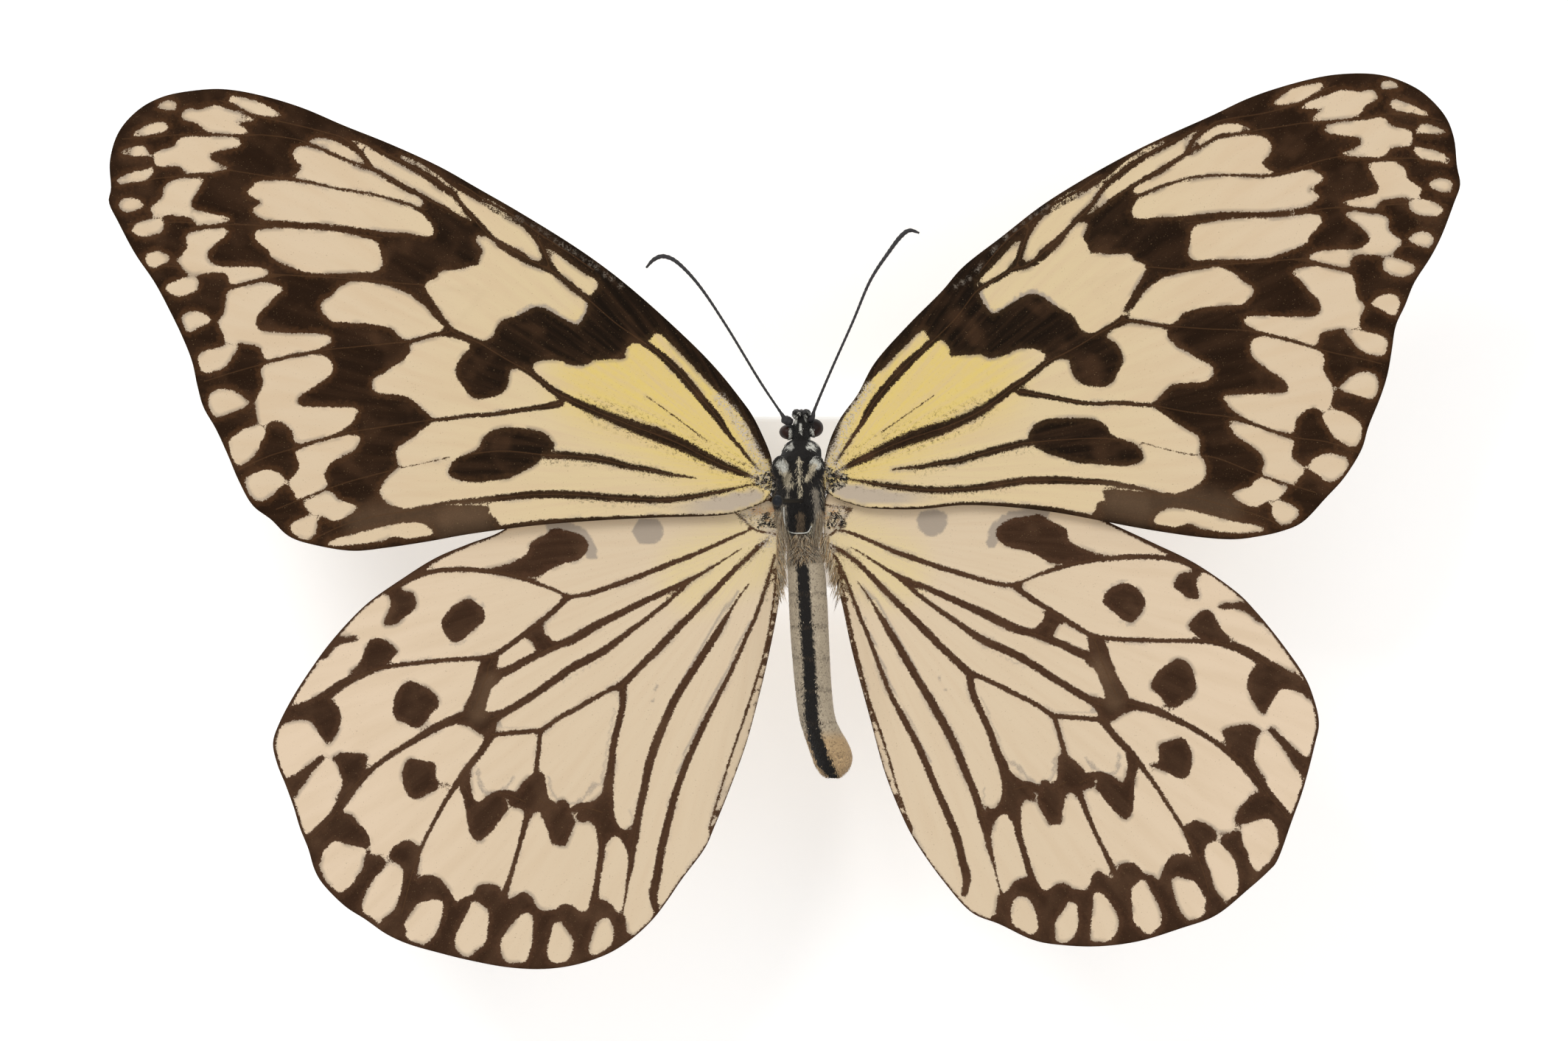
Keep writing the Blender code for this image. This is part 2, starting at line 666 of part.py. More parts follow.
def rod(name):
    centre, width, middle, height = body_at(0.0)
    top = middle - height - GAP
    line = (
        (0.0, 0.0, BASE_HEIGHT + GAP, ROD_RADIUS),
        (0.0, 0.0, top, ROD_RADIUS),
    )
    return sweep(name, line, ROD_FACETS, 0)


def pin(name):
    """The top of the specimen's pin: a leaning shaft with a ball head."""
    foot = Vector(PIN_FOOT)
    top = Vector(PIN_TOP)
    lean = (top - foot).normalized()
    line = [(*foot, PIN_RADIUS)]
    start = top - lean * (PIN_HEAD_RADIUS * 0.90)
    line.append((*start, PIN_RADIUS))
    for tilt in (50, 70, 90, 110, 130, 150, 168):
        angle = math.radians(tilt)
        spot = top - lean * (PIN_HEAD_RADIUS * math.cos(angle))
        line.append((*spot, PIN_HEAD_RADIUS * math.sin(angle)))
    return sweep(name, line, 12, 0)


def mirrored(controls, side):
    return [(body_at(y)[0] + side * x, y, z, radius) for x, y, z, radius in controls]


for leftover in list(bpy.data.objects):
    bpy.data.objects.remove(leftover, do_unlink=True)

CREAM = (0.80, 0.70, 0.50)
DARK = (0.05, 0.035, 0.025)
FUR = (0.22, 0.19, 0.15)

# The lengths of the body: name, front end, back end, step between rings, colour.
HALF_GAP = GAP / 2
BODY_LENGTHS = (
    ("head", BODY_STATIONS[0][0], NECK_CUT + HALF_GAP, 0.42, FUR),
    ("prothorax", NECK_CUT - HALF_GAP, COLLAR_CUT + HALF_GAP, 0.35, DARK),
    ("thorax", COLLAR_CUT - HALF_GAP, WAIST_CUT + HALF_GAP, 0.6, FUR),
    ("abdomen", WAIST_CUT - HALF_GAP, TIP_CUT + HALF_GAP, 1.5, FUR),
    ("abdomen_tip", TIP_CUT - HALF_GAP, BODY_STATIONS[-1][0], 0.6, CREAM),
)
for name, front, back, step, colour in BODY_LENGTHS:
    paint(loft_body(name, front, back, step), colour, 0.7)

paint(eye_dome("eye_left", LEFT_EYE_CENTRE, LEFT_EYE_REACH, -1), DARK, 0.25)
paint(eye_dome("eye_right", RIGHT_EYE_CENTRE, RIGHT_EYE_REACH, 1), DARK, 0.25)
paint(sweep("antenna_left", LEFT_ANTENNA, ANTENNA_FACETS, 1.1), DARK, 0.5)
paint(sweep("antenna_right", RIGHT_ANTENNA, ANTENNA_FACETS, 1.1), DARK, 0.5)
for side, label in ((-1, "left"), (1, "right")):
    palp = [(-0.02 + side * x, y, z, radius) for x, y, z, radius in PALP]
    paint(sweep("palp_" + label, palp, PALP_FACETS, 0.35), DARK, 0.7)
    tegula = (
        body_at(TEGULA_CENTRE[1])[0] + side * TEGULA_CENTRE[0],
        TEGULA_CENTRE[1],
        TEGULA_CENTRE[2],
    )
    paint(ellipsoid("tegula_" + label, tegula, TEGULA_REACH, 14, 6), CREAM, 0.7)
    paint(sweep("foreleg_" + label, mirrored(FORE_LEG, side), LEG_FACETS, 0.8), DARK, 0.5)
    paint(sweep("middle_leg_" + label, mirrored(MIDDLE_LEG, side), LEG_FACETS, 1.0), DARK, 0.5)
    paint(sweep("hind_leg_" + label, mirrored(HIND_LEG, side), LEG_FACETS, 1.2), DARK, 0.5)
paint(coil("proboscis"), DARK, 0.4)

right_fore_veins = [turn_to_right(vein, FOREWING_TIES) for vein in FOREWING_VEINS]
right_hind_veins = [turn_to_right(vein, HINDWING_TIES) for vein in HINDWING_VEINS]
hind_z = FOREWING_ROOT_Z - HINDWING_DROP
paint(wing("forewing_left", LEFT_FOREWING, FOREWING_VEINS, -1, FOREWING_ROOT_Z, False), CREAM, 0.6)
paint(wing("forewing_right", RIGHT_FOREWING, right_fore_veins, 1, FOREWING_ROOT_Z, False), CREAM, 0.6)
paint(wing("hindwing_left", LEFT_HINDWING, HINDWING_VEINS, -1, hind_z, True), CREAM, 0.6)
paint(wing("hindwing_right", RIGHT_HINDWING, right_hind_veins, 1, hind_z, True), CREAM, 0.6)

paint(pin("pin"), (0.12, 0.15, 0.22), 0.3)
paint(rod("stand_rod"), (0.70, 0.70, 0.70), 0.3, 1.0)
paint(rounded_base("stand_base"), (0.85, 0.85, 0.84), 0.45)
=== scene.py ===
import math

import bmesh
import bpy
import numpy as np
from mathutils import Matrix, Vector, geometry, kdtree


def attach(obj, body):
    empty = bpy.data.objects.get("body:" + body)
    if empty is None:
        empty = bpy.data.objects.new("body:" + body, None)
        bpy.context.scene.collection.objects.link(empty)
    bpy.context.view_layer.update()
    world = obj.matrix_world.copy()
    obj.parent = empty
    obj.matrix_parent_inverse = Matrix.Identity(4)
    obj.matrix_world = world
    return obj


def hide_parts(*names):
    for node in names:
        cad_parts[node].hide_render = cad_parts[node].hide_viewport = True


mm = 0.001
bothSides = (("left", -1), ("right", 1))
quarterTurn = math.pi / 2  # turns round the body start at its right side, so this one points up
fieldReach = 2.5  # distance in millimetres past which a drawn shape no longer counts

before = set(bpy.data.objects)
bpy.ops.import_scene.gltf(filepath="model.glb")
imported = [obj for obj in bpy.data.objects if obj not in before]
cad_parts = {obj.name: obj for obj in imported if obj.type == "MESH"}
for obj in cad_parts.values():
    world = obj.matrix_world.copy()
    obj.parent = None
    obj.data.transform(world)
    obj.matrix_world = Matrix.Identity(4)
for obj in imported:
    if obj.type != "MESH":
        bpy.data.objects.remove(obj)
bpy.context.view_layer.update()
print("frame loaded", len(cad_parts), "nodes")


# Small helpers for numbers and curves. Plans are in millimetres where no note says otherwise.

def linear(red, green, blue):
    levels = []
    for level in (red, green, blue):
        share = level / 255
        levels.append(share / 12.92 if share <= 0.04045 else ((share + 0.055) / 1.055) ** 2.4)
    return (*levels, 1.0)


def smoothLine(points, step, closed=False):
    # evenly spaced points on the smooth curve through these, any extra columns go along
    knots = np.array(points, float)
    if closed:
        knots = np.vstack([knots[-1:], knots, knots[:2]])
    else:
        knots = np.vstack([2 * knots[:1] - knots[1:2], knots, 2 * knots[-1:] - knots[-2:-1]])
    t = np.linspace(0, 1, 9)[:-1, None]
    fine = []
    for a, b, c, d in zip(knots, knots[1:], knots[2:], knots[3:]):
        fine.append(0.5 * (2 * b + (c - a) * t + (2 * a - 5 * b + 4 * c - d) * t ** 2
                           + (3 * b - a - 3 * c + d) * t ** 3))
    fine.append(knots[-2:-1])
    fine = np.vstack(fine)
    run = np.concatenate([[0], np.cumsum(np.hypot(*np.diff(fine[:, :2], axis=0).T))])
    count = max(3, int(round(run[-1] / step)))
    wanted = np.linspace(0, run[-1], count + 1)
    line = np.column_stack([np.interp(wanted, run, fine[:, k]) for k in range(fine.shape[1])])
    return line[:-1] if closed else line


def inside(points, ring):
    held = np.zeros(len(points), bool)
    for (xa, ya), (xb, yb) in zip(ring, np.roll(ring, -1, axis=0)):
        if ya == yb:
            continue
        cross = (ya > points[:, 1]) != (yb > points[:, 1])
        held ^= cross & (points[:, 0] < xa + (xb - xa) * (points[:, 1] - ya) / (yb - ya))
    return held


def lineDistance(points, line, widths=None):
    # distance to a line of short straight runs, less the half width there
    best = np.full(len(points), 1e3)
    for k in range(len(line) - 1):
        a, run = line[k], line[k + 1] - line[k]
        size = run @ run
        if size == 0:
            continue
        share = np.clip(((points - a) @ run) / size, 0, 1)
        gap = np.hypot(*(points - a - share[:, None] * run).T)
        if widths is not None:
            gap = gap - (widths[k] + (widths[k + 1] - widths[k]) * share)
        best = np.minimum(best, gap)
    return best


def near(points, line):
    low, high = line[:, :2].min(0) - fieldReach, line[:, :2].max(0) + fieldReach
    return np.nonzero(((points > low) & (points < high)).all(1))[0]


def shapeDistance(points, ring):
    # signed distance, below zero inside the shape
    found = np.full(len(points), fieldReach)
    close = near(points, ring)
    spots = points[close]
    gap = lineDistance(spots, np.vstack([ring, ring[:1]]))
    found[close] = np.where(inside(spots, ring), -gap, np.minimum(gap, fieldReach))
    return found


def strokeDistance(points, line):
    found = np.full(len(points), fieldReach)
    close = near(points, line)
    found[close] = np.minimum(lineDistance(points[close], line[:, :2], line[:, 2]), fieldReach)
    return found


def ease(values, low, high):
    share = np.clip((np.asarray(values, float) - low) / (high - low), 0, 1)
    return share * share * (3 - 2 * share)


def thinPlate(pairs, slack):
    # smooth map of the plane that carries the first point of each pair to the second
    source, target = pairs[:, :2], pairs[:, 2:]

    def kernel(points):
        square = ((points[:, None] - source[None]) ** 2).sum(2)
        return square * np.log(square + 1e-9) * 0.5

    count = len(source)
    edge = np.column_stack([np.ones(count), source])
    system = np.zeros((count + 3, count + 3))
    system[:count, :count] = kernel(source) + slack * np.eye(count)
    system[:count, count:] = edge
    system[count:, :count] = edge.T
    answer = np.linalg.solve(system, np.vstack([target, np.zeros((3, 2))]))

    def move(points):
        points = np.array(points, float)
        flat = points[:, :2]
        moved = kernel(flat) @ answer[:count] + np.column_stack([np.ones(len(flat)), flat]) @ answer[count:]
        return np.column_stack([moved, points[:, 2:]])

    return move


def pointing(turn, tilt):
    flat = math.sqrt(1 - tilt * tilt)
    return Vector((flat * math.cos(turn), flat * math.sin(turn), tilt))


def domePoint(centre, reach, direction, share):
    # a point under the surface of a dome, and the way out of it
    spot = centre + Vector(a * b for a, b in zip(direction, reach)) * share
    return spot, Vector(a / b for a, b in zip(direction, reach)).normalized()


# Building blocks for meshes.

def finishPiece(bm, name, material, smooth=True):
    mesh = bpy.data.meshes.new(name)
    bm.to_mesh(mesh)
    bm.free()
    return placePiece(mesh, name, material, smooth)


def placePiece(mesh, name, material, smooth=False):
    piece = bpy.data.objects.new(name, mesh)
    bpy.context.scene.collection.objects.link(piece)
    mesh.materials.append(material)
    if smooth:
        mesh.shade_smooth()
    return piece


def carry(piece, slot, *nodes):
    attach(piece, "root")
    if nodes:
        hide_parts(*nodes)
    return piece


def spotsOf(verts):
    return np.array([v.co[:] for v in verts]) / mm


def setValues(mesh, name, values):
    layer = mesh.attributes.new(name, "FLOAT", "POINT")
    layer.data.foreach_set("value", np.asarray(values, np.float32))


def setTints(mesh, name, colours):
    layer = mesh.attributes.new(name, "FLOAT_COLOR", "POINT")
    full = np.column_stack([colours, np.ones(len(colours))])
    layer.data.foreach_set("color", full.astype(np.float32).ravel())


def loftRings(bm, frames, sides):
    # a circle drawn out from frame to frame, closed at both ends
    ring = bmesh.ops.create_circle(bm, segments=sides, radius=1.0, cap_ends=True, matrix=frames[0])["verts"]
    edges = list({e for v in ring for e in v.link_edges})
    for before, after in zip(frames, frames[1:]):
        made = bmesh.ops.extrude_edge_only(bm, edges=edges)["geom"]
        fresh = {v for v in made if isinstance(v, bmesh.types.BMVert)}
        edges = [e for e in made if isinstance(e, bmesh.types.BMEdge) and set(e.verts) <= fresh]
        bmesh.ops.transform(bm, matrix=after @ before.inverted(), verts=list(fresh))
    bmesh.ops.edgeloop_fill(bm, edges=edges)
    bmesh.ops.recalc_face_normals(bm, faces=bm.faces)


def tubeFrames(stations):
    # frames along stations of x, y, z, radius
    frames = []
    side = None
    for k, station in enumerate(stations):
        before = Vector(stations[max(k - 1, 0)][:3])
        after = Vector(stations[min(k + 1, len(stations) - 1)][:3])
        forward = (after - before).normalized()
        side = forward.orthogonal() if side is None else side - forward * side.dot(forward)
        side.normalize()
        up = forward.cross(side)
        turn = Matrix((side, up, forward)).transposed().to_4x4()
        frames.append(Matrix.Translation(Vector(station[:3]) * mm) @ turn @ Matrix.Scale(station[3] * mm, 4))
    return frames


def buildTube(name, stations, sides, material):
    bm = bmesh.new()
    loftRings(bm, tubeFrames(stations), sides)
    return finishPiece(bm, name, material)


def rippled(controls, step, ripple, every):
    # stations on the smooth curve through the controls, with small rings
    return [(x, y, z, r * (1 + ripple * (1 if (k // every) % 2 else -1)))
            for k, (x, y, z, r) in enumerate(smoothLine(controls, step))]


# Node helpers.

def newMaterial(name):
    material = bpy.data.materials.new(name)
    material.use_nodes = True
    return material, material.node_tree, material.node_tree.nodes["Principled BSDF"]


def finishShader(tree, shader, colour, values):
    tree.links.new(colour, shader.inputs["Base Color"])
    for name, value in values.items():
        shader.inputs[name].default_value = value


def addNode(tree, kind, values=None, **settings):
    node = tree.nodes.new("ShaderNode" + kind)
    for key, value in settings.items():
        setattr(node, key, value)
    for key, value in (values or {}).items():
        plug(tree, node.inputs[key], value)
    return node


def plug(tree, socket, value):
    if isinstance(value, bpy.types.NodeSocket):
        tree.links.new(value, socket)
    else:
        socket.default_value = value


def maths(tree, operation, *values):
    return addNode(tree, "Math", dict(enumerate(values)), operation=operation).outputs[0]


def times(tree, first, second):
    return maths(tree, "MULTIPLY", first, second)


def plus(tree, first, second):
    return maths(tree, "ADD", first, second)


def blendColour(tree, factor, first, second, kind="MIX"):
    node = addNode(tree, "Mix", {0: factor, 6: first, 7: second}, data_type="RGBA", blend_type=kind)
    return node.outputs[2]


def remap(tree, value, low, high, toLow=0.0, toHigh=1.0):
    values = {"Value": value, "From Min": low, "From Max": high, "To Min": toLow, "To Max": toHigh}
    return addNode(tree, "MapRange", values, interpolation_type="SMOOTHSTEP").outputs["Result"]


def noiseAt(tree, place, scale, detail=2.0, roughness=0.5):
    values = {"Vector": place, "Scale": scale, "Detail": detail, "Roughness": roughness}
    return addNode(tree, "TexNoise", values).outputs["Fac"]


def speckle(tree, place, scale, detail, roughness, low, high, most):
    # spots where a noise rises from the low to the high level
    return remap(tree, noiseAt(tree, place, scale, detail, roughness), low, high, 0.0, most)


def objectPlace(tree):
    return addNode(tree, "TexCoord").outputs["Object"]


def readValue(tree, name):
    return addNode(tree, "Attribute", attribute_name=name).outputs["Fac"]


def readTint(tree, name):
    return addNode(tree, "Attribute", attribute_name=name).outputs["Color"]


def makeGrainGroup():
    # fine light and dark flecks with a matching height
    group = bpy.data.node_groups.new("scaleGrain", "ShaderNodeTree")
    face = group.interface
    face.new_socket(name="Colour", in_out="INPUT", socket_type="NodeSocketColor")
    face.new_socket(name="Size", in_out="INPUT", socket_type="NodeSocketFloat").default_value = 5000
    face.new_socket(name="Depth", in_out="INPUT", socket_type="NodeSocketFloat").default_value = 0.3
    face.new_socket(name="Colour", in_out="OUTPUT", socket_type="NodeSocketColor")
    face.new_socket(name="Height", in_out="OUTPUT", socket_type="NodeSocketFloat")
    given = group.nodes.new("NodeGroupInput").outputs
    result = group.nodes.new("NodeGroupOutput")
    place = objectPlace(group)
    fine = noiseAt(group, place, given["Size"], 3.0, 0.65)
    broad = noiseAt(group, place, times(group, given["Size"], 0.07), 2.0)
    level = plus(group, times(group, fine, 0.7), times(group, broad, 0.3))
    lift = times(group, maths(group, "SUBTRACT", level, 0.5), given["Depth"])
    factor = plus(group, times(group, lift, 2.0), 1.0)
    grey = addNode(group, "CombineColor", {0: factor, 1: factor, 2: factor}).outputs[0]
    shade = blendColour(group, 1.0, given["Colour"], grey, "MULTIPLY")
    group.links.new(shade, result.inputs["Colour"])
    group.links.new(fine, result.inputs["Height"])
    return group


scaleGrain = makeGrainGroup()


def grain(tree, colour, size, depth):
    node = tree.nodes.new("ShaderNodeGroup")
    node.node_tree = scaleGrain
    plug(tree, node.inputs["Colour"], colour)
    node.inputs["Size"].default_value = size
    node.inputs["Depth"].default_value = depth
    return node.outputs["Colour"], node.outputs["Height"]


def bump(tree, shader, height, strength, distance):
    node = addNode(tree, "Bump", {"Height": height, "Strength": strength, "Distance": distance * mm})
    tree.links.new(node.outputs["Normal"], shader.inputs["Normal"])


def makePlainMaterial(name, look):
    # one colour with a light grain, for pin and stand
    material, tree, shader = newMaterial(name)
    shade, height = grain(tree, linear(*look["colour"]), *look["grain"])
    finishShader(tree, shader, shade, look["finish"])
    bump(tree, shader, height, *look["bump"])
    return material


# The body: stations as in the solids, y, centre x, half width, centre z, half height.
body = {
    "stations": (
        (8.15, -0.02, 0.30, 24.95, 0.40), (7.90, -0.02, 0.70, 24.95, 0.85),
        (7.40, -0.02, 0.95, 25.00, 1.20), (6.70, -0.03, 1.02, 25.05, 1.38),
        (6.10, -0.05, 1.00, 25.10, 1.38), (5.90, -0.04, 1.02, 25.10, 1.38), (5.65, 0.00, 1.55, 25.15, 1.55),
        (5.30, 0.02, 1.85, 25.20, 1.75), (4.75, -0.05, 1.98, 25.35, 2.10), (4.20, -0.25, 2.10, 25.35, 2.50),
        (3.40, -0.30, 2.42, 25.25, 2.90), (2.20, -0.30, 2.62, 25.10, 3.18),
        (0.80, -0.28, 2.68, 25.00, 3.28), (-0.80, -0.20, 2.52, 24.95, 3.15),
        (-2.00, -0.08, 2.15, 24.90, 2.70), (-2.90, 0.02, 1.72, 24.85, 2.15),
        (-3.60, 0.08, 1.48, 24.80, 1.85), (-4.60, 0.20, 1.62, 24.75, 1.90),
        (-6.50, 0.45, 1.88, 24.70, 2.00), (-9.50, 0.62, 1.95, 24.65, 2.02),
        (-13.50, 0.82, 1.92, 24.60, 1.98), (-17.50, 1.10, 1.84, 24.55, 1.90),
        (-20.50, 1.45, 1.80, 24.50, 1.84), (-22.00, 1.90, 1.88, 24.45, 1.86),
        (-23.20, 2.45, 2.02, 24.42, 1.92), (-24.50, 2.92, 2.05, 24.40, 1.90),
        (-25.60, 3.02, 1.72, 24.38, 1.58), (-26.30, 3.02, 1.15, 24.36, 1.05),
        (-26.75, 3.02, 0.35, 24.35, 0.35),
    ),
    "sides": 64, "ringStep": 0.2, "curveStep": 0.1, "least": 0.05,
    "coatDepth": ((9.0, 0.10), (5.0, 0.18), (3.0, 0.22), (-3.0, 0.22), (-6.0, 0.10), (-27.0, 0.06)),
    "segments": {"start": 4.3, "length": 3.1, "front": -5.5, "back": -22, "groove": 0.035, "grooveWidth": 0.2,
                 "lineWidth": 0.12, "lineStrength": 0.22},
}
smoothStations = smoothLine(np.array(body["stations"])[::-1], body["curveStep"])
smoothStations = smoothStations[np.argsort(smoothStations[:, 0])]
coatTable = np.array(body["coatDepth"])[::-1]


def bodyAt(y):
    return [np.interp(y, smoothStations[:, 0], smoothStations[:, k]) for k in range(1, 5)]


def skinAt(y, proud=0.0):
    # centre, half width, middle and half height of the skin, under the coat
    centre, width, middle, height = bodyAt(y)
    depth = np.interp(y, coatTable[:, 0], coatTable[:, 1]) - proud
    return centre, max(width - depth, body["least"]), middle, max(height - depth, body["least"])


def skinPoint(y, turn, proud=0.0):
    centre, width, middle, height = skinAt(y, proud)
    spot = Vector((centre + width * math.cos(turn), y, middle + height * math.sin(turn)))
    return spot, Vector((math.cos(turn) / width, 0, math.sin(turn) / height)).normalized()


def segmentLines(y, width):
    # the abdomen's segments, 1 on the line between two of them
    plan = body["segments"]
    away = (-y - plan["start"]) % plan["length"] - plan["length"] / 2
    return np.exp(-(away / width) ** 2) * (y < plan["front"])


bodyInk = {
    "black": (20, 16, 13), "white": (196, 194, 184), "cream": (188, 176, 150), "grey": (152, 142, 126),
    "ash": (170, 156, 134), "buff": (178, 150, 112), "umber": (96, 80, 62),
}
bodyInk = {name: np.array(linear(*ink)[:3]) for name, ink in bodyInk.items()}
# Markings of the body seen from above: ink, half width, strength, line of points.
bodyMarks = (
    ("cream", 0.40, 0.95, ((-1.95, 3.75), (-1.75, 3.25), (-1.45, 2.7), (-1.25, 1.9))),
    ("white", 0.42, 1.0, ((-2.0, 3.75), (-1.7, 3.35))),
    ("white", 0.36, 1.0, ((1.25, 3.95), (1.5, 3.65))),
    ("cream", 0.26, 0.95, ((1.2, 3.6), (0.85, 2.95), (0.55, 2.35))),
    ("cream", 0.15, 1.0, ((-0.25, 4.0), (-0.25, 3.1), (-0.2, 1.9), (-0.2, 0.5))),
    ("grey", 0.14, 0.6, ((-1.3, 1.6), (-1.35, 0.4))),
    ("grey", 0.30, 0.95, ((1.25, 1.2), (1.4, 0.2), (1.45, -1.2), (1.25, -2.9))),
    ("grey", 0.24, 1.0, ((-1.65, -0.3), (-1.68, -1.5), (-1.6, -2.5))),
    ("cream", 0.09, 1.0, ((-1.5, -2.5), (-1.1, -3.0), (-0.4, -3.08), (0.3, -3.05), (0.8, -2.6),
                          (0.95, -1.9))),
    ("umber", 0.34, 0.9, ((-0.1, -1.1), (-0.1, -2.8))),
    ("ash", 0.30, 0.8, ((-1.2, -3.5), (-0.6, -3.6))),
    ("ash", 0.45, 0.8, ((0.9, -3.5), (1.1, -4.2))),
    ("white", 0.15, 1.0, ((-1.35, 5.12), (-0.92, 5.1), (-1.0, 5.42))),
    ("white", 0.16, 1.0, ((0.55, 5.15), (1.1, 5.22), (0.95, 5.45), (0.72, 5.4))),
    ("white", 0.08, 0.9, ((-1.6, 5.35), (-1.55, 5.85))),
    ("white", 0.10, 0.9, ((1.35, 5.75), (1.6, 5.4))),
    ("white", 0.16, 1.0, ((-1.08, 6.2), (-1.14, 6.85))),
    ("white", 0.14, 1.0, ((0.95, 7.0), (1.12, 6.5))),
    ("white", 0.09, 1.0, ((1.45, 6.42), (1.95, 6.18))),
    ("white", 0.10, 1.0, ((-0.1, 7.35), (-0.1, 6.65))),
    ("white", 0.17, 1.0, ((-0.6, 7.8), (-0.6, 7.65))),
    ("white", 0.08, 1.0, ((0.3, 8.0), (0.38, 7.8))),
    ("white", 0.10, 0.9, ((0.7, 6.0), (0.85, 6.0))),
)
# The black stripe down the abdomen: distance behind the pin, centre x, half width.
stripePlan = np.array(((4.5, -0.2, 0.0), (5.2, -0.15, 0.5), (7.0, 0.12, 0.6), (11.0, 0.36, 0.62),
                       (16.0, 0.75, 0.65), (20.7, 0.95, 0.68), (23.0, 1.35, 0.72), (25.5, 2.3, 0.78),
                       (26.8, 3.2, 0.5)))


def markingAt(spots, turns):
    # colour of the coat at points of the skin, seen from above
    x, y = spots[:, 0], spots[:, 1]
    colours = np.tile(bodyInk["black"], (len(y), 1))

    def lay(ink, amount):
        amount = np.clip(amount, 0, 1)[:, None]
        colours[:] = colours * (1 - amount) + bodyInk[ink] * amount

    top = ease(np.sin(turns), -0.1, 0.2)
    abdomen = ease(-y, 4.0, 5.6)
    lay("ash", abdomen)
    lay("buff", ease(-y, 21.8, 23.2))
    lay("buff", abdomen * ease(-np.sin(turns), 0.1, 0.6))
    middle, half = (np.interp(-y, stripePlan[:, 0], stripePlan[:, k]) for k in (1, 2))
    half = half + 0.05 * np.sin(7.3 * y) + 0.04 * np.sin(17.1 * y + 1.3) + 0.03 * np.sin(31.7 * y + 9 * x)
    lay("black", ease(-y, 4.6, 5.2) * (1 - ease(np.abs(x - middle) - half, -0.05, 0.05)) * top)
    for ink, half, strength, line in bodyMarks:
        gap = lineDistance(spots[:, :2], smoothLine(line, 0.2))
        lay(ink, strength * top * (1 - ease(gap, half * 0.75, half * 1.2)))
    plan = body["segments"]
    lay("umber", plan["lineStrength"] * segmentLines(y, plan["lineWidth"]) * (y > plan["back"]))
    return colours


def markFromAbove(piece):
    spots = spotsOf(piece.data.vertices)
    setTints(piece.data, "mark", markingAt(spots, np.full(len(spots), quarterTurn)))
    return spots


def buildBodySkin():
    bm = bmesh.new()
    front, back = body["stations"][0][0], body["stations"][-1][0]
    count = int((front - back) / body["ringStep"])
    frames = []
    for k in range(count + 1):
        y = front + (back - front) * k / count
        centre, width, middle, height = skinAt(y)
        turn = Matrix.Rotation(quarterTurn, 4, "X")
        size = Matrix.Diagonal((width * mm, height * mm, mm, 1))
        frames.append(Matrix.Translation((centre * mm, y * mm, middle * mm)) @ turn @ size)
    loftRings(bm, frames, body["sides"])
    spots = spotsOf(bm.verts)
    centre, width, middle, height = bodyAt(spots[:, 1])
    turns = np.arctan2((spots[:, 2] - middle) / height, (spots[:, 0] - centre) / width)
    plan = body["segments"]
    for v, groove in zip(bm.verts, segmentLines(spots[:, 1], plan["grooveWidth"])):
        centre, width, middle, height = bodyAt(v.co.y / mm)
        v.co -= Vector((v.co.x - centre * mm, 0, v.co.z - middle * mm)) * plan["groove"] * groove
    piece = finishPiece(bm, "body_skin", bodyMaterial)
    setTints(piece.data, "mark", markingAt(spots, turns))
    return carry(piece, "body_hair", "head", "prothorax", "thorax", "abdomen", "abdomen_tip")


coatLook = {"grain": (7000.0, 0.55), "pale": (0.12, 0.3), "fleck": (4200.0, 2.0, 0.7, 0.55, 0.66, 0.6),
            "fleckInk": (74, 62, 50), "bump": (0.5, 0.05)}


def makeCoatMaterial(name, sheen):
    material, tree, shader = newMaterial(name)
    colour, height = grain(tree, readTint(tree, "mark"), *coatLook["grain"])
    pale = remap(tree, addNode(tree, "RGBToBW", {0: readTint(tree, "mark")}).outputs[0], *coatLook["pale"])
    fleck = speckle(tree, objectPlace(tree), *coatLook["fleck"])
    colour = blendColour(tree, times(tree, fleck, pale), colour, linear(*coatLook["fleckInk"]))
    finishShader(tree, shader, colour, {"Roughness": 0.75, "Specular IOR Level": 0.2, "Sheen Weight": sheen})
    bump(tree, shader, height, *coatLook["bump"])
    return material


bodyMaterial = makeCoatMaterial("bodySkin", 0.1)
tuftMaterial = makeCoatMaterial("hairTufts", 0.25)
buildBodySkin()
print("body skin made")


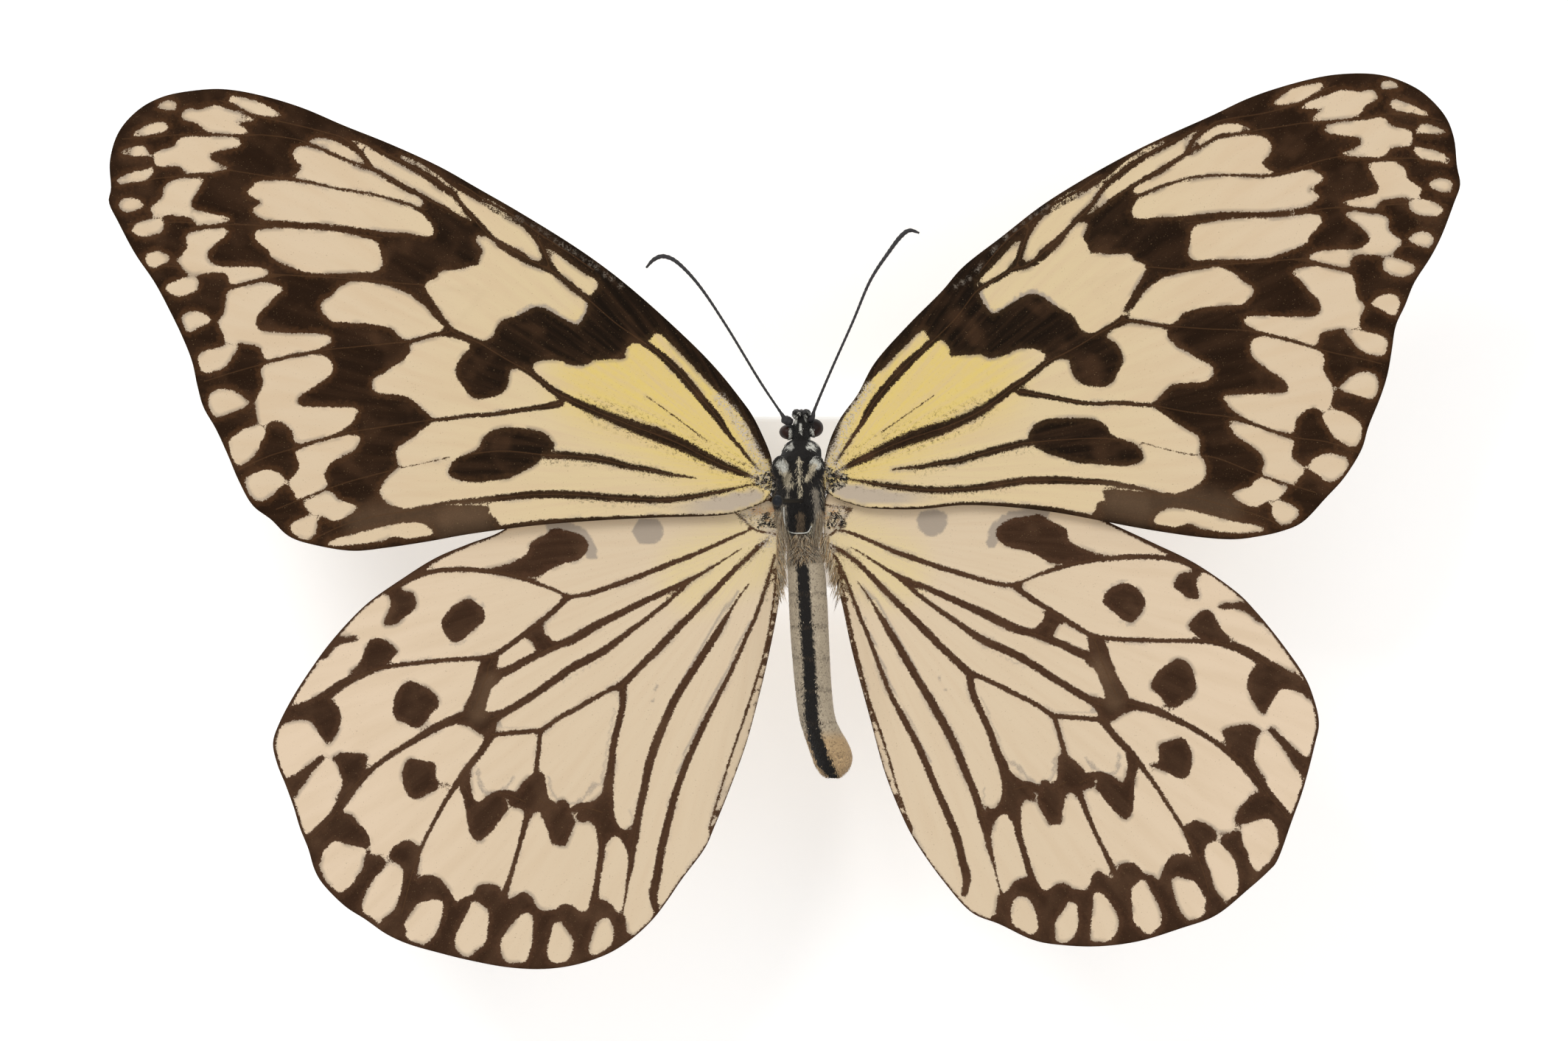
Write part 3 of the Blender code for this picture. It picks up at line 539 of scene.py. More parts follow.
# Tufts: each is a thin three-sided lock with a bend, rooted in the skin.
tufts = {
    "head": {"span": (5.3, 8.1), "turns": (-180, 180), "count": 3200, "length": (0.14, 0.32), "width": 0.03,
             "lift": 0.5, "swing": 0.4},
    "breast": {"span": (-3.9, 5.2), "turns": (-190, 10), "count": 9000, "length": (0.35, 0.85), "width": 0.04,
               "lift": 0.35, "swing": 0.3},
    "thorax": {"span": (-4.2, 5.2), "turns": (0, 180), "count": 15000, "length": (0.28, 0.7), "width": 0.034,
               "lift": 0.25, "swing": 0.3},
    "abdomen": {"span": (-26.6, -3.9), "turns": (-180, 180), "count": 17000, "length": (0.18, 0.36),
                "width": 0.045, "lift": 0.14, "swing": 0.4, "stray": 0.13},
    "collar": {"span": (3.9, 5.85), "turns": (-40, 220), "count": 6500, "length": (0.3, 0.6), "width": 0.036,
               "lift": 0.42, "swing": 0.35, "spread": 0.4},
    "shoulder": {"span": (0.2, 4.2), "turns": (8, 172), "count": 1500, "length": (0.6, 1.3), "width": 0.032,
                 "lift": 0.15, "swing": 0.35, "parting": 52, "spread": 1.3,
                 "ink": ("black", "black", "umber", "cream", "black")},
    "flank": {"span": (-5.0, -0.4), "turns": (12, 168), "count": 2400, "length": (0.9, 2.1), "width": 0.028,
              "lift": 0.1, "swing": 0.22, "parting": 46, "spread": 0.2,
              "ink": ("ash", "buff", "umber", "cream")},
    "waist": {"span": (-5.3, -2.9), "turns": (-12, 192), "count": 3400, "length": (0.6, 1.5), "width": 0.026,
              "lift": 0.16, "swing": 0.4, "spread": 0.12,
              "ink": ("ash", "buff", "umber", "black", "ash", "umber")},
}
tuftShape = {"middle": 0.55, "tip": 0.6, "droop": 0.06, "taper": 0.85, "ridge": 0.35, "stray": 0.07,
             "shade": 0.18, "proud": -0.03, "firstSeed": 3, "liftSpan": (0.6, 1.4), "widthSpan": (0.7, 1.3),
             "clumpStray": 0.05}
unwrap = {"back": 27.5, "length": 37.0, "patch": 0.003}


def bakePatches(mesh, places):
    # a small patch of the unwrapped skin for each tuft
    layer = mesh.uv_layers.new(name="OFBake")
    corners = np.zeros(len(mesh.loops), int)
    mesh.loops.foreach_get("vertex_index", corners)
    patch = np.array([(0, 0), (1, 0), (0, 1), (0.2, 1), (1, 0.2), (0.6, 0.6), (1, 1)]) * unwrap["patch"]
    layer.data.foreach_set("uv", (places[corners // 7] + patch[corners % 7]).astype(np.float32).ravel())


def growTufts(name, plan, roots, random):
    # each root is a spot, its outward direction and its place on the unwrapped skin
    points = []
    shape = tuftShape
    for spot, outward, turn in roots:
        lie = Vector((plan.get("spread", 0) * math.copysign(1, math.cos(turn)), -1, 0))
        lie = (lie - outward * lie.dot(outward)).normalized()
        across = outward.cross(lie)
        swing = random.normal() * plan["swing"]
        way = (lie * math.cos(swing) + across * math.sin(swing)).normalized()
        side = way.cross(outward)
        length = random.uniform(*plan["length"])
        lift = plan["lift"] * random.uniform(*shape["liftSpan"])
        half = plan["width"] * random.uniform(*shape["widthSpan"])
        middle = spot + way * length * 0.5 + outward * length * lift * shape["middle"]
        tip = spot + way * length + outward * length * lift * shape["tip"]
        tip -= Vector((0, 0, shape["droop"] * length * length))
        for base, size in ((spot, 1.0), (middle, shape["taper"])):
            points.append(base + side * half * size)
            points.append(base - side * half * size)
            points.append(base + outward * half * shape["ridge"] * size)
        points.append(tip)
    spots = np.array([r[0] for r in roots])
    turns = np.array([r[2] for r in roots])
    if "ink" in plan:
        inks = np.array([bodyInk[k] for k in plan["ink"]])
        chosen = random.integers(0, len(inks), len(roots))
        if "clump" in plan:
            strayed = spots[:, :2] + random.normal(0, shape["clumpStray"], (len(roots), 2))
            cells = np.floor(strayed * plan["clump"]).astype(int)
            chosen = (cells[:, 0] * 7 + cells[:, 1] * 11 + cells[:, 0] * cells[:, 1]) % len(inks)
        colours = inks[chosen]
    else:
        stray = random.normal(0, plan.get("stray", shape["stray"]), spots.shape)
        colours = markingAt(spots + stray, turns)
    colours = colours * (1 + random.normal(0, shape["shade"], (len(colours), 1)))
    joined = [(0, 1, 4, 3), (1, 2, 5, 4), (2, 0, 3, 5), (3, 4, 6), (4, 5, 6), (5, 3, 6), (0, 2, 1)]
    faces = [tuple(7 * k + i for i in face) for k in range(len(roots)) for face in joined]
    mesh = bpy.data.meshes.new(name)
    mesh.from_pydata([p * mm for p in points], [], faces)
    piece = placePiece(mesh, name, tuftMaterial)
    setTints(mesh, "mark", np.clip(np.repeat(colours, 7, axis=0), 0, 1))
    girth = (turns / (2 * math.pi)) % 1.0 * 0.98 + 0.01
    bakePatches(mesh, np.column_stack([girth, (spots[:, 1] + unwrap["back"]) / unwrap["length"]]))
    return carry(piece, "body_hair")


for seed, (label, plan) in enumerate(tufts.items()):
    random = np.random.default_rng(seed + tuftShape["firstSeed"])
    roots = []
    while len(roots) < plan["count"]:
        y = random.uniform(*plan["span"])
        turn = random.uniform(*plan["turns"])
        if "parting" not in plan or abs(turn - 90) >= plan["parting"]:
            roots.append((*skinPoint(y, math.radians(turn), tuftShape["proud"]), math.radians(turn)))
    growTufts("hair_" + label, plan, roots, random)
print("tufts made")


# A pale line of hair round the back of the scutellum.
hairLine = {"line": ((-1.72, -0.6), (-1.66, -1.9), (-1.42, -2.75), (-0.9, -3.05), (-0.1, -3.1), (0.6, -2.98),
                     (0.95, -2.4)), "step": 0.08, "radius": 0.06, "proud": 0.42, "sides": 8,
            "bake": (0.24, 0.05)}
stations = []
for x, y in smoothLine(hairLine["line"], hairLine["step"]):
    centre, width, middle, height = bodyAt(y)
    turn = math.acos(max(-1, min(1, (x - centre) / width)))
    spot, outward = skinPoint(y, turn, hairLine["proud"])
    stations.append((x, y, spot.z, hairLine["radius"]))
line = buildTube("hair_line", stations, hairLine["sides"], tuftMaterial)
setTints(line.data, "mark", np.tile(bodyInk["white"], (len(line.data.vertices), 1)))
bakeLine = line.data.uv_layers.new(name="OFBake")
flat = spotsOf(line.data.vertices)[[c.vertex_index for c in line.data.loops]]
bakeStart, bakeScale = hairLine["bake"]
along = (flat[:, 1] + unwrap["back"]) / unwrap["length"]
places = np.column_stack([bakeStart + flat[:, 0] * bakeScale, along])
bakeLine.data.foreach_set("uv", places.astype(np.float32).ravel())
carry(line, "body_hair")


# Eyes: domes that reach further out than in, with marks and short hair on the inner side.
eyes = {
    "left": {"centre": (-1.28, 6.66, 25.05), "reach": (0.72, 0.98), "seed": 79},
    "right": {"centre": (1.22, 7.05, 25.05), "reach": (0.88, 0.98), "seed": 73},
    "outer": 0.88, "inner": 0.68, "dark": (27, 14, 10), "light": (46, 25, 18), "facets": 17000.0,
    "clouds": (900.0, 2.0, 0.5, 0.35, 0.65, 1.0), "markEdge": (-0.3, -0.15),
}
browHair = {"count": 800, "length": (0.15, 0.34), "width": 0.035, "lift": 0.25, "swing": 0.4, "sink": 0.98,
            "innermost": -0.08, "lowest": -0.5}


def makeEyeMaterial():
    material, tree, shader = newMaterial("eyeLens")
    place = objectPlace(tree)
    values = {"Vector": place, "Scale": eyes["facets"]}
    cells = addNode(tree, "TexVoronoi", values, feature="DISTANCE_TO_EDGE")
    shade = speckle(tree, place, *eyes["clouds"])
    colour = blendColour(tree, shade, linear(*eyes["dark"]), linear(*eyes["light"]))
    colour = blendColour(tree, readValue(tree, "rim"), colour, readTint(tree, "mark"))
    finishShader(tree, shader, colour, {"Roughness": 0.4, "Specular IOR Level": 0.2})
    bump(tree, shader, cells.outputs["Distance"], 0.4, 0.02)
    return material


eyeMaterial = makeEyeMaterial()
for side, sign in bothSides:
    centre = Vector(eyes[side]["centre"])
    reach = (eyes["inner"], *eyes[side]["reach"])
    bm = bmesh.new()
    bmesh.ops.create_icosphere(bm, subdivisions=5, radius=1.0)
    for v in bm.verts:
        v.co.x *= eyes["outer"] if v.co.x * sign > 0 else eyes["inner"]
    size = Matrix.Diagonal((mm, reach[1] * mm, reach[2] * mm, 1))
    bmesh.ops.transform(bm, matrix=Matrix.Translation(centre * mm) @ size, verts=bm.verts)
    eye = finishPiece(bm, "eye_lens_" + side, eyeMaterial)
    spots = markFromAbove(eye)
    outwards = (spots[:, 0] - eyes[side]["centre"][0]) * sign
    setValues(eye.data, "rim", 1 - ease(outwards, *eyes["markEdge"]))
    carry(eye, "eye", "eye_" + side)
    random = np.random.default_rng(eyes[side]["seed"])
    roots = []
    while len(roots) < browHair["count"]:
        outward = pointing(random.uniform(0, 2 * math.pi), random.uniform(-1.0, 1.0))
        if outward.x * sign <= browHair["innermost"] and outward.z >= browHair["lowest"]:
            roots.append((*domePoint(centre, reach, outward, browHair["sink"]), quarterTurn))
    growTufts("hair_brow_" + side, browHair, roots, random)
print("eyes made")


# Limbs: feelers, palps, feeding tube and legs as drawn-out tubes.
limbLook = {"limbChitin": {"dark": (26, 21, 19), "light": (62, 50, 42), "grain": (14000.0, 0.6)},
            "feelerScales": {"dark": (30, 26, 28), "light": (48, 42, 44), "grain": (12000.0, 0.6)},
            "patches": (2600.0, 2.0, 0.5, 0.5, 0.7, 1.0)}


def makeLimbMaterial(name):
    look = limbLook[name]
    material, tree, shader = newMaterial(name)
    colour, height = grain(tree, linear(*look["dark"]), *look["grain"])
    patches = speckle(tree, objectPlace(tree), *limbLook["patches"])
    colour = blendColour(tree, patches, colour, linear(*look["light"]))
    finishShader(tree, shader, colour, {"Roughness": 0.55})
    bump(tree, shader, height, 0.4, 0.02)
    return material


limbMaterial = makeLimbMaterial("limbChitin")
feelerMaterial = makeLimbMaterial("feelerScales")

feelers = {
    "left": ((-0.95, 7.62, 25.70, 0.34), (-1.55, 7.84, 26.00, 0.46), (-2.00, 8.50, 26.30, 0.15),
             (-4.10, 11.65, 27.00, 0.13), (-7.10, 16.60, 27.80, 0.13), (-9.70, 20.50, 28.30, 0.15),
             (-11.80, 22.80, 28.50, 0.19), (-13.20, 23.50, 28.55, 0.22), (-14.20, 23.20, 28.50, 0.20),
             (-14.95, 22.40, 28.45, 0.10)),
    "right": ((0.80, 7.75, 25.70, 0.28), (1.08, 8.15, 26.05, 0.25), (1.30, 8.95, 26.35, 0.15),
              (2.80, 12.50, 27.00, 0.13), (4.90, 17.20, 27.80, 0.13), (6.60, 21.20, 28.30, 0.15),
              (8.50, 24.10, 28.50, 0.19), (9.60, 25.50, 28.55, 0.22), (10.40, 26.00, 28.55, 0.20),
              (11.30, 25.75, 28.50, 0.10)),
    "step": 0.12, "ripple": 0.06, "every": 2, "sides": 14,
}
for side, sign in bothSides:
    stations = rippled(feelers[side], feelers["step"], feelers["ripple"], feelers["every"])
    feeler = buildTube("feeler_" + side, stations, feelers["sides"], feelerMaterial)
    carry(feeler, "antenna", "antenna_" + side)

palp = {"line": ((0.42, 8.05, 23.75, 0.26), (0.45, 8.35, 24.40, 0.42), (0.46, 8.45, 25.10, 0.44),
                 (0.47, 8.35, 25.85, 0.30)),
        "middle": -0.02, "steps": 6, "sides": 14, "left": {"seed": 71}, "right": {"seed": 67}}
palpHair = {"count": 620, "length": (0.15, 0.32), "width": 0.035, "lift": 0.28, "swing": 0.6,
            "ink": ("black", "black", "black", "black", "white"), "clump": 5.0, "sink": 0.95, "lean": 0.3}
for side, sign in bothSides:
    controls = [(palp["middle"] + sign * x, y, z, r) for x, y, z, r in palp["line"]]
    stations = [controls[0]]
    for before, after in zip(controls, controls[1:]):
        for j in range(1, palp["steps"] + 1):
            t = j / palp["steps"]
            spot = Vector(before[:3]).lerp(Vector(after[:3]), t)
            stations.append((*spot, before[3] + (after[3] - before[3]) * t))
    piece = buildTube("palp_scales_" + side, stations, palp["sides"], limbMaterial)
    carry(piece, "body_hair", "palp_" + side)
    random = np.random.default_rng(palp[side]["seed"])
    roots = []
    for k in range(palpHair["count"]):
        x, y, z, r = stations[random.integers(3, len(stations))]
        outward = pointing(random.uniform(0, 2 * math.pi), random.uniform(0, 1))
        spot = Vector((x, y, z)) + outward * r * palpHair["sink"]
        roots.append((spot, outward, quarterTurn + palpHair["lean"] * sign))
    growTufts("hair_palp_" + side, palpHair, roots, random)

coil = {"centre": (-0.02, 7.00, 21.45), "inner": 0.35, "pitch": 0.85, "turns": 1.6, "radius": 0.22,
        "steps": 120, "sides": 12, "thin": 0.6, "ripple": 0.04, "root": ((-0.05, 0.6), (-0.35, 1.45))}
stations = []
for k in range(coil["steps"] + 1):
    turn = 2 * math.pi * coil["turns"] * k / coil["steps"]
    reach = coil["inner"] + coil["pitch"] * turn / (2 * math.pi)
    angle = turn - 2 * math.pi * coil["turns"] + math.pi
    radius = coil["radius"] * (coil["thin"] + (1 - coil["thin"]) * k / coil["steps"])
    radius *= 1 + coil["ripple"] * (1 if k % 2 else -1)
    stations.append((coil["centre"][0], coil["centre"][1] - reach * math.cos(angle),
                     coil["centre"][2] + reach * math.sin(angle), radius))
x, y, z, radius = stations[-1]
stations += [(x, y + back, z + up, radius) for back, up in coil["root"]]
carry(buildTube("feeding_tube", stations, coil["sides"], limbMaterial), "proboscis", "proboscis")

legs = {
    "foreleg": ((0.70, 3.60, 22.20, 0.30), (0.95, 4.60, 21.30, 0.22), (0.85, 5.40, 21.55, 0.18),
                (0.80, 5.00, 20.75, 0.10)),
    "middle_leg": ((1.15, 1.70, 22.05, 0.40), (1.55, 2.30, 20.90, 0.32), (1.75, 3.60, 20.30, 0.24),
                   (1.75, 4.20, 19.70, 0.20), (1.75, 2.40, 18.90, 0.17), (1.70, 0.20, 18.50, 0.15),
                   (1.50, -2.40, 18.30, 0.12)),
    "hind_leg": ((1.10, -0.90, 22.10, 0.40), (1.30, -1.80, 21.10, 0.32), (1.15, -3.60, 21.00, 0.24),
                 (1.25, -6.20, 21.30, 0.20), (1.35, -8.60, 21.40, 0.17), (1.35, -11.40, 21.40, 0.15),
                 (1.30, -13.60, 21.35, 0.12)),
}
legBuild = {"step": 0.2, "ripple": 0.03, "every": 3, "sides": 12}
for label, controls in legs.items():
    for side, sign in bothSides:
        placed = [(bodyAt(y)[0] + sign * x, y, z, r) for x, y, z, r in controls]
        stations = rippled(placed, legBuild["step"], legBuild["ripple"], legBuild["every"])
        leg = buildTube(label + "_chitin_" + side, stations, legBuild["sides"], limbMaterial)
        carry(leg, "leg", label + "_" + side)
print("limbs made")


# Tegulae: small scaly lobes over the wing roots.
tegula = {"centre": (1.78, 3.30, 28.25), "reach": (0.70, 1.06, 0.28),
          "left": {"seed": 37}, "right": {"seed": 31}}
tegulaHair = {"count": 900, "length": (0.25, 0.5), "width": 0.035, "lift": 0.25, "swing": 0.35, "sink": 0.97}
for side, sign in bothSides:
    axis = bodyAt(tegula["centre"][1])[0]
    centre = Vector((axis + sign * tegula["centre"][0], *tegula["centre"][1:]))
    reach = Vector(tegula["reach"])
    bm = bmesh.new()
    place = Matrix.Translation(centre * mm) @ Matrix.Diagonal((*(reach * mm), 1))
    bmesh.ops.create_icosphere(bm, subdivisions=4, radius=1.0, matrix=place)
    piece = finishPiece(bm, "tegula_lobe_" + side, bodyMaterial)
    markFromAbove(piece)
    carry(piece, "body_hair", "tegula_" + side)
    random = np.random.default_rng(tegula[side]["seed"])
    roots = []
    for k in range(tegulaHair["count"]):
        outward = pointing(random.uniform(0, 2 * math.pi), random.uniform(0.1, 1.0))
        roots.append((*domePoint(centre, reach, outward, tegulaHair["sink"]), quarterTurn))
    growTufts("hair_tegula_" + side, tegulaHair, roots, random)


# The left forewing seen from above, x outward and y forward, all in tenths of a millimetre.
forewing = {
    "margin": (
        28, 33, 32, 50, 46, 80, 60, 100, 81, 126, 106, 152, 146, 189, 182, 219, 220, 246, 270, 277, 310, 300,
        349, 322, 395, 343, 440, 361, 480, 378, 520, 390, 556, 396, 589, 394, 616, 388, 639, 375, 657, 354,
        665, 327, 664, 301, 666, 287, 657, 268, 641, 238, 622, 210, 607, 182, 595, 157, 586, 134, 581, 111,
        575, 90, 563, 69, 552, 45, 541, 19, 528, -4, 510, -18, 493, -34, 470, -42, 433, -48, 399, -45, 359,
        -39, 320, -32, 260, -24, 199, -19, 139, -16, 80, -14, 56, -9, 36, 0, 28, 12),
    "border": ((0, 3.0), (0.8, 3.0), (0.854, 5.0), (0.89, 3.5), (0.94, 2.5), (0.964, 1.0), (0.99, 0.8),
        (1, 0.8)),
    "dark": ((
        33, 39, 40, 45, 45, 56, 50, 69, 60, 83, 70, 94, 80, 103, 90, 114, 100, 124, 110, 135, 120, 145,
        130, 155, 136, 160, 141, 161, 146, 155, 151, 153, 159, 152, 165, 150, 170, 143, 170, 137, 182, 136,
        200, 135, 206, 131, 214, 130, 225, 131, 233, 135, 248, 135, 257, 132, 260, 126, 275, 127, 281, 125,
        281, 119, 283, 109, 290, 102, 300, 99, 311, 98, 320, 102, 326, 110, 332, 119, 333, 127, 330, 135,
        325, 142, 319, 148, 323, 153, 333, 156, 341, 158, 353, 157, 366, 154, 376, 150, 376, 146, 377, 142,
        384, 134, 393, 129, 401, 123, 409, 119, 413, 114, 412, 108, 407, 104, 396, 103, 386, 102, 378, 100,
        369, 93, 363, 87, 356, 81, 356, 75, 364, 69, 373, 61, 381, 56, 388, 51, 390, 46, 388, 37, 388, 32,
        394, 27, 401, 19, 405, 11, 403, 3, 396, -3, 386, -6, 378, -7, 360, -4, 305, -4, 300, -9, 301, -14,
        293, -19, 293, -60, 500, -90, 600, 0, 640, 140, 720, 300, 700, 420, 550, 460, 300, 360, 100, 200,
        0, 80, 15, 40),),
    "pale": (
        (278, 273, 283, 279, 293, 285, 300, 289, 309, 292, 302, 286, 296, 283, 288, 278, 280, 273),
        (250, 233, 253, 244, 262, 256, 270, 264, 282, 270, 296, 278, 310, 287, 324, 295, 336, 302, 350, 313,
         366, 324, 385, 332, 384, 329, 366, 320, 352, 312, 340, 302, 329, 290, 319, 280, 311, 272, 302, 262,
         296, 255, 283, 247, 270, 241, 258, 232),
        (318, 270, 325, 277, 332, 287, 340, 294, 350, 300, 360, 308, 375, 317, 390, 325, 403, 332, 415, 339,
         424, 344, 436, 347, 428, 341, 421, 334, 415, 327, 410, 320, 400, 314, 386, 307, 370, 299, 353, 289,
         342, 283, 330, 276),
        (420, 323, 424, 330, 433, 337, 443, 343, 453, 347, 464, 349, 473, 346, 469, 342, 461, 340, 449, 335,
         436, 328, 426, 323),
        (364, 286, 368, 292, 380, 297, 393, 304, 406, 312, 413, 317, 423, 319, 439, 326, 453, 332, 466, 338,
         478, 341, 486, 339, 489, 334, 486, 327, 480, 322, 484, 316, 489, 311, 479, 308, 463, 304, 446, 301,
         429, 298, 413, 294, 396, 290, 383, 285, 371, 282),
        (355, 256, 355, 264, 360, 270, 364, 275, 370, 279, 380, 283, 395, 289, 410, 292, 430, 296, 450, 300,
         470, 304, 490, 307, 510, 308, 522, 307, 528, 302, 533, 296, 523, 290, 519, 287, 524, 283, 528, 279,
         522, 273, 513, 270, 500, 270, 480, 268, 460, 267, 440, 265, 420, 262, 400, 259, 380, 258, 365, 255),
        (409, 249, 425, 254, 450, 259, 480, 261, 505, 262, 522, 260, 526, 254, 519, 246, 512, 241, 510, 235,
         502, 230, 488, 224, 475, 220, 450, 219, 425, 220, 410, 221, 403, 227, 405, 238),
        (344, 168, 349, 172, 356, 179, 361, 186, 369, 192, 378, 199, 386, 202, 399, 207, 419, 210, 431, 211,
         439, 208, 446, 204, 452, 197, 461, 191, 462, 184, 457, 178, 452, 173, 441, 172, 419, 171, 402, 168,
         393, 165, 388, 159, 379, 155, 366, 157, 353, 161, 346, 164),
        (428, 89, 455, 90, 480, 91, 485, 96, 481, 102, 468, 111, 456, 119, 451, 126, 453, 135, 463, 140,
         480, 140, 500, 136, 515, 131, 520, 124, 517, 114, 520, 106, 525, 95, 524, 86, 523, 77, 519, 72,
         515, 73, 509, 77, 501, 76, 494, 72, 489, 65, 487, 57, 478, 56, 460, 61, 443, 68, 433, 75, 429, 82),
        (516, 70, 523, 73, 533, 70, 543, 64, 550, 57, 549, 47, 546, 39, 541, 34, 534, 37, 528, 42, 523, 49,
         520, 57, 516, 64),
        (425, 62, 435, 63, 450, 60, 465, 56, 476, 52, 485, 48, 486, 44, 483, 37, 484, 29, 490, 22, 493, 17,
         491, 12, 487, 7, 485, 2, 476, 4, 466, 8, 458, 12, 456, 16, 459, 24, 457, 31, 452, 37, 440, 44,
         430, 49, 426, 56),
        (428, -6, 435, -2, 445, 1, 450, 7, 458, 10, 468, 4, 477, 0, 478, -5, 473, -10, 470, -14, 462, -14,
         457, -16, 450, -19, 440, -16, 432, -11),
        (466, -19, 468, -14, 476, -15, 485, -19, 491, -23, 491, -28, 486, -33, 478, -37, 470, -36, 467, -30,
         466, -24),
        (354, -31, 358, -26, 364, -22, 378, -21, 393, -23, 406, -26, 419, -29, 434, -33, 446, -36, 456, -41,
         449, -43, 432, -42, 416, -40, 402, -38, 393, -34, 379, -36, 366, -34, 358, -33),
        (501, 371, 506, 375, 515, 380, 526, 385, 540, 388, 548, 389, 550, 386, 548, 382, 540, 377, 530, 373,
         520, 371, 510, 370),
        (527, 366, 533, 370, 543, 374, 553, 377, 563, 380, 569, 379, 579, 376, 589, 377, 594, 374, 596, 369,
         593, 366, 584, 364, 578, 361, 574, 357, 566, 354, 553, 353, 540, 353, 532, 354, 535, 358, 543, 364,
         533, 365),
        (601, 379, 603, 383, 609, 385, 616, 382, 619, 379, 611, 376, 603, 376),
        (609, 360, 613, 364, 621, 364, 629, 361, 637, 357, 642, 353, 639, 351, 629, 352, 617, 354, 612, 356),
        (539, 344, 543, 348, 553, 350, 566, 350, 581, 350, 593, 350, 599, 347, 602, 342, 609, 339, 619, 336,
         623, 332, 622, 327, 620, 322, 611, 322, 599, 322, 593, 317, 588, 315, 576, 316, 563, 317, 551, 320,
         558, 323, 566, 327, 569, 331, 567, 335, 559, 337, 550, 339, 541, 341),
        (627, 332, 630, 338, 632, 341, 639, 341, 646, 339, 654, 336, 652, 334, 642, 332, 631, 332),
        (623, 317, 624, 320, 632, 318, 642, 316, 651, 313, 658, 308, 654, 305, 642, 307, 632, 308, 626, 312),
        (576, 309, 584, 310, 596, 310, 606, 307, 613, 301, 614, 293, 621, 286, 626, 281, 624, 277, 622, 272,
         616, 273, 608, 275, 599, 274, 589, 273, 583, 268, 581, 265, 569, 266, 559, 267, 550, 271, 559, 274,
         573, 277, 584, 280, 587, 286, 584, 293, 579, 301),
        (633, 284, 637, 289, 646, 291, 654, 289, 656, 284, 653, 279, 647, 278, 639, 280),
        (613, 264, 614, 269, 618, 272, 626, 271, 636, 268, 643, 263, 643, 259, 637, 255, 627, 255, 617, 258),
        (551, 259, 559, 262, 574, 260, 587, 258, 592, 253, 590, 245, 595, 237, 600, 231, 596, 225, 591, 220,
         584, 217, 574, 219, 560, 220, 553, 218, 550, 213, 549, 209, 536, 210, 522, 214, 512, 219, 520, 224,
         540, 225, 557, 225, 567, 229, 572, 235, 569, 242, 562, 249, 555, 254),
        (607, 233, 611, 237, 619, 240, 627, 238, 631, 234, 629, 228, 624, 224, 616, 227, 609, 230),
        (581, 204, 580, 210, 583, 216, 589, 216, 599, 212, 608, 209, 611, 205, 608, 200, 599, 197, 589, 199,
         583, 202),
        (499, 203, 501, 206, 510, 209, 521, 210, 533, 207, 544, 204, 551, 201, 553, 196, 554, 187, 556, 179,
         561, 173, 559, 167, 556, 161, 554, 153, 550, 151, 543, 149, 542, 152, 533, 151, 523, 149, 519, 145,
         517, 139, 513, 136, 500, 139, 490, 142, 480, 143, 470, 145, 460, 148, 453, 153, 453, 157, 460, 160,
         473, 161, 490, 161, 506, 162, 518, 163, 523, 166, 525, 172, 523, 179, 518, 184, 513, 189, 506, 197),
        (568, 174, 573, 179, 581, 182, 591, 181, 596, 176, 594, 169, 591, 163, 586, 163, 578, 168, 571, 171),
        (542, 149, 546, 141, 551, 133, 558, 127, 568, 124, 576, 124, 579, 131, 580, 138, 576, 143, 566, 146,
         556, 149, 551, 151),
        (531, 95, 536, 99, 543, 104, 551, 107, 561, 107, 568, 103, 570, 95, 568, 87, 563, 81, 556, 82,
         546, 86, 536, 90),
        (497, 17, 499, 24, 505, 28, 515, 30, 524, 27, 533, 23, 535, 17, 533, 11, 528, 3, 523, 0, 516, 1,
         510, 5, 503, 12),
        (206, 187, 208, 192, 215, 197, 223, 203, 230, 209, 237, 215, 245, 220, 255, 224, 268, 229, 280, 236,
         292, 244, 300, 252, 309, 255, 313, 252, 310, 246, 306, 240, 309, 235, 311, 227, 318, 226, 326, 223,
         336, 222, 348, 220, 350, 215, 359, 211, 362, 206, 358, 199, 353, 191, 348, 184, 342, 175, 336, 168,
         329, 164, 320, 159, 313, 154, 303, 155, 298, 158, 294, 165, 290, 173, 282, 176, 270, 180, 262, 185,
         252, 187, 242, 183, 230, 176, 220, 171, 214, 171, 209, 179),
        (196, 208, 201, 214, 210, 219, 220, 226, 229, 233, 239, 240, 245, 242, 244, 237, 241, 231, 237, 226,
         231, 218, 223, 212, 216, 206, 210, 201, 205, 197, 201, 200),
    ),
    "blobs": (
        (238, 51, 239, 57, 245, 64, 253, 68, 266, 70, 280, 71, 291, 70, 301, 66, 308, 59, 310, 52, 320, 46,
         330, 42, 335, 39, 339, 32, 340, 26, 333, 21, 320, 18, 306, 18, 291, 20, 280, 22, 270, 27, 260, 32,
         253, 37, 250, 40),
    ),
    "strokes": (
        (40, 29, 1, 50, 40, 1.5, 59, 51, 2, 70, 64, 2.5, 81, 80, 4, 100, 103, 4.2, 120, 126, 4.5, 140, 144,
        3.5,
         160, 158, 4),
        (43, 22, 1, 50, 24, 2, 60, 28, 3.5, 80, 36, 4.2, 100, 46, 5.5, 120, 56, 6.5, 140, 64, 7, 160, 71, 6,
         180, 79, 5, 200, 87, 4.8, 220, 96, 4, 240, 107, 3.5, 260, 123, 3.3, 280, 134, 3, 300, 146, 3,
         310, 152, 3, 330, 160, 3.2, 338, 164, 3.5),
        (34, 19, 0.8, 42, 17, 1.2, 60, 13, 1.3, 80, 9, 2.2, 100, 5, 3, 120, 2, 3.3, 140, 1, 3.5, 160, 2, 3.6,
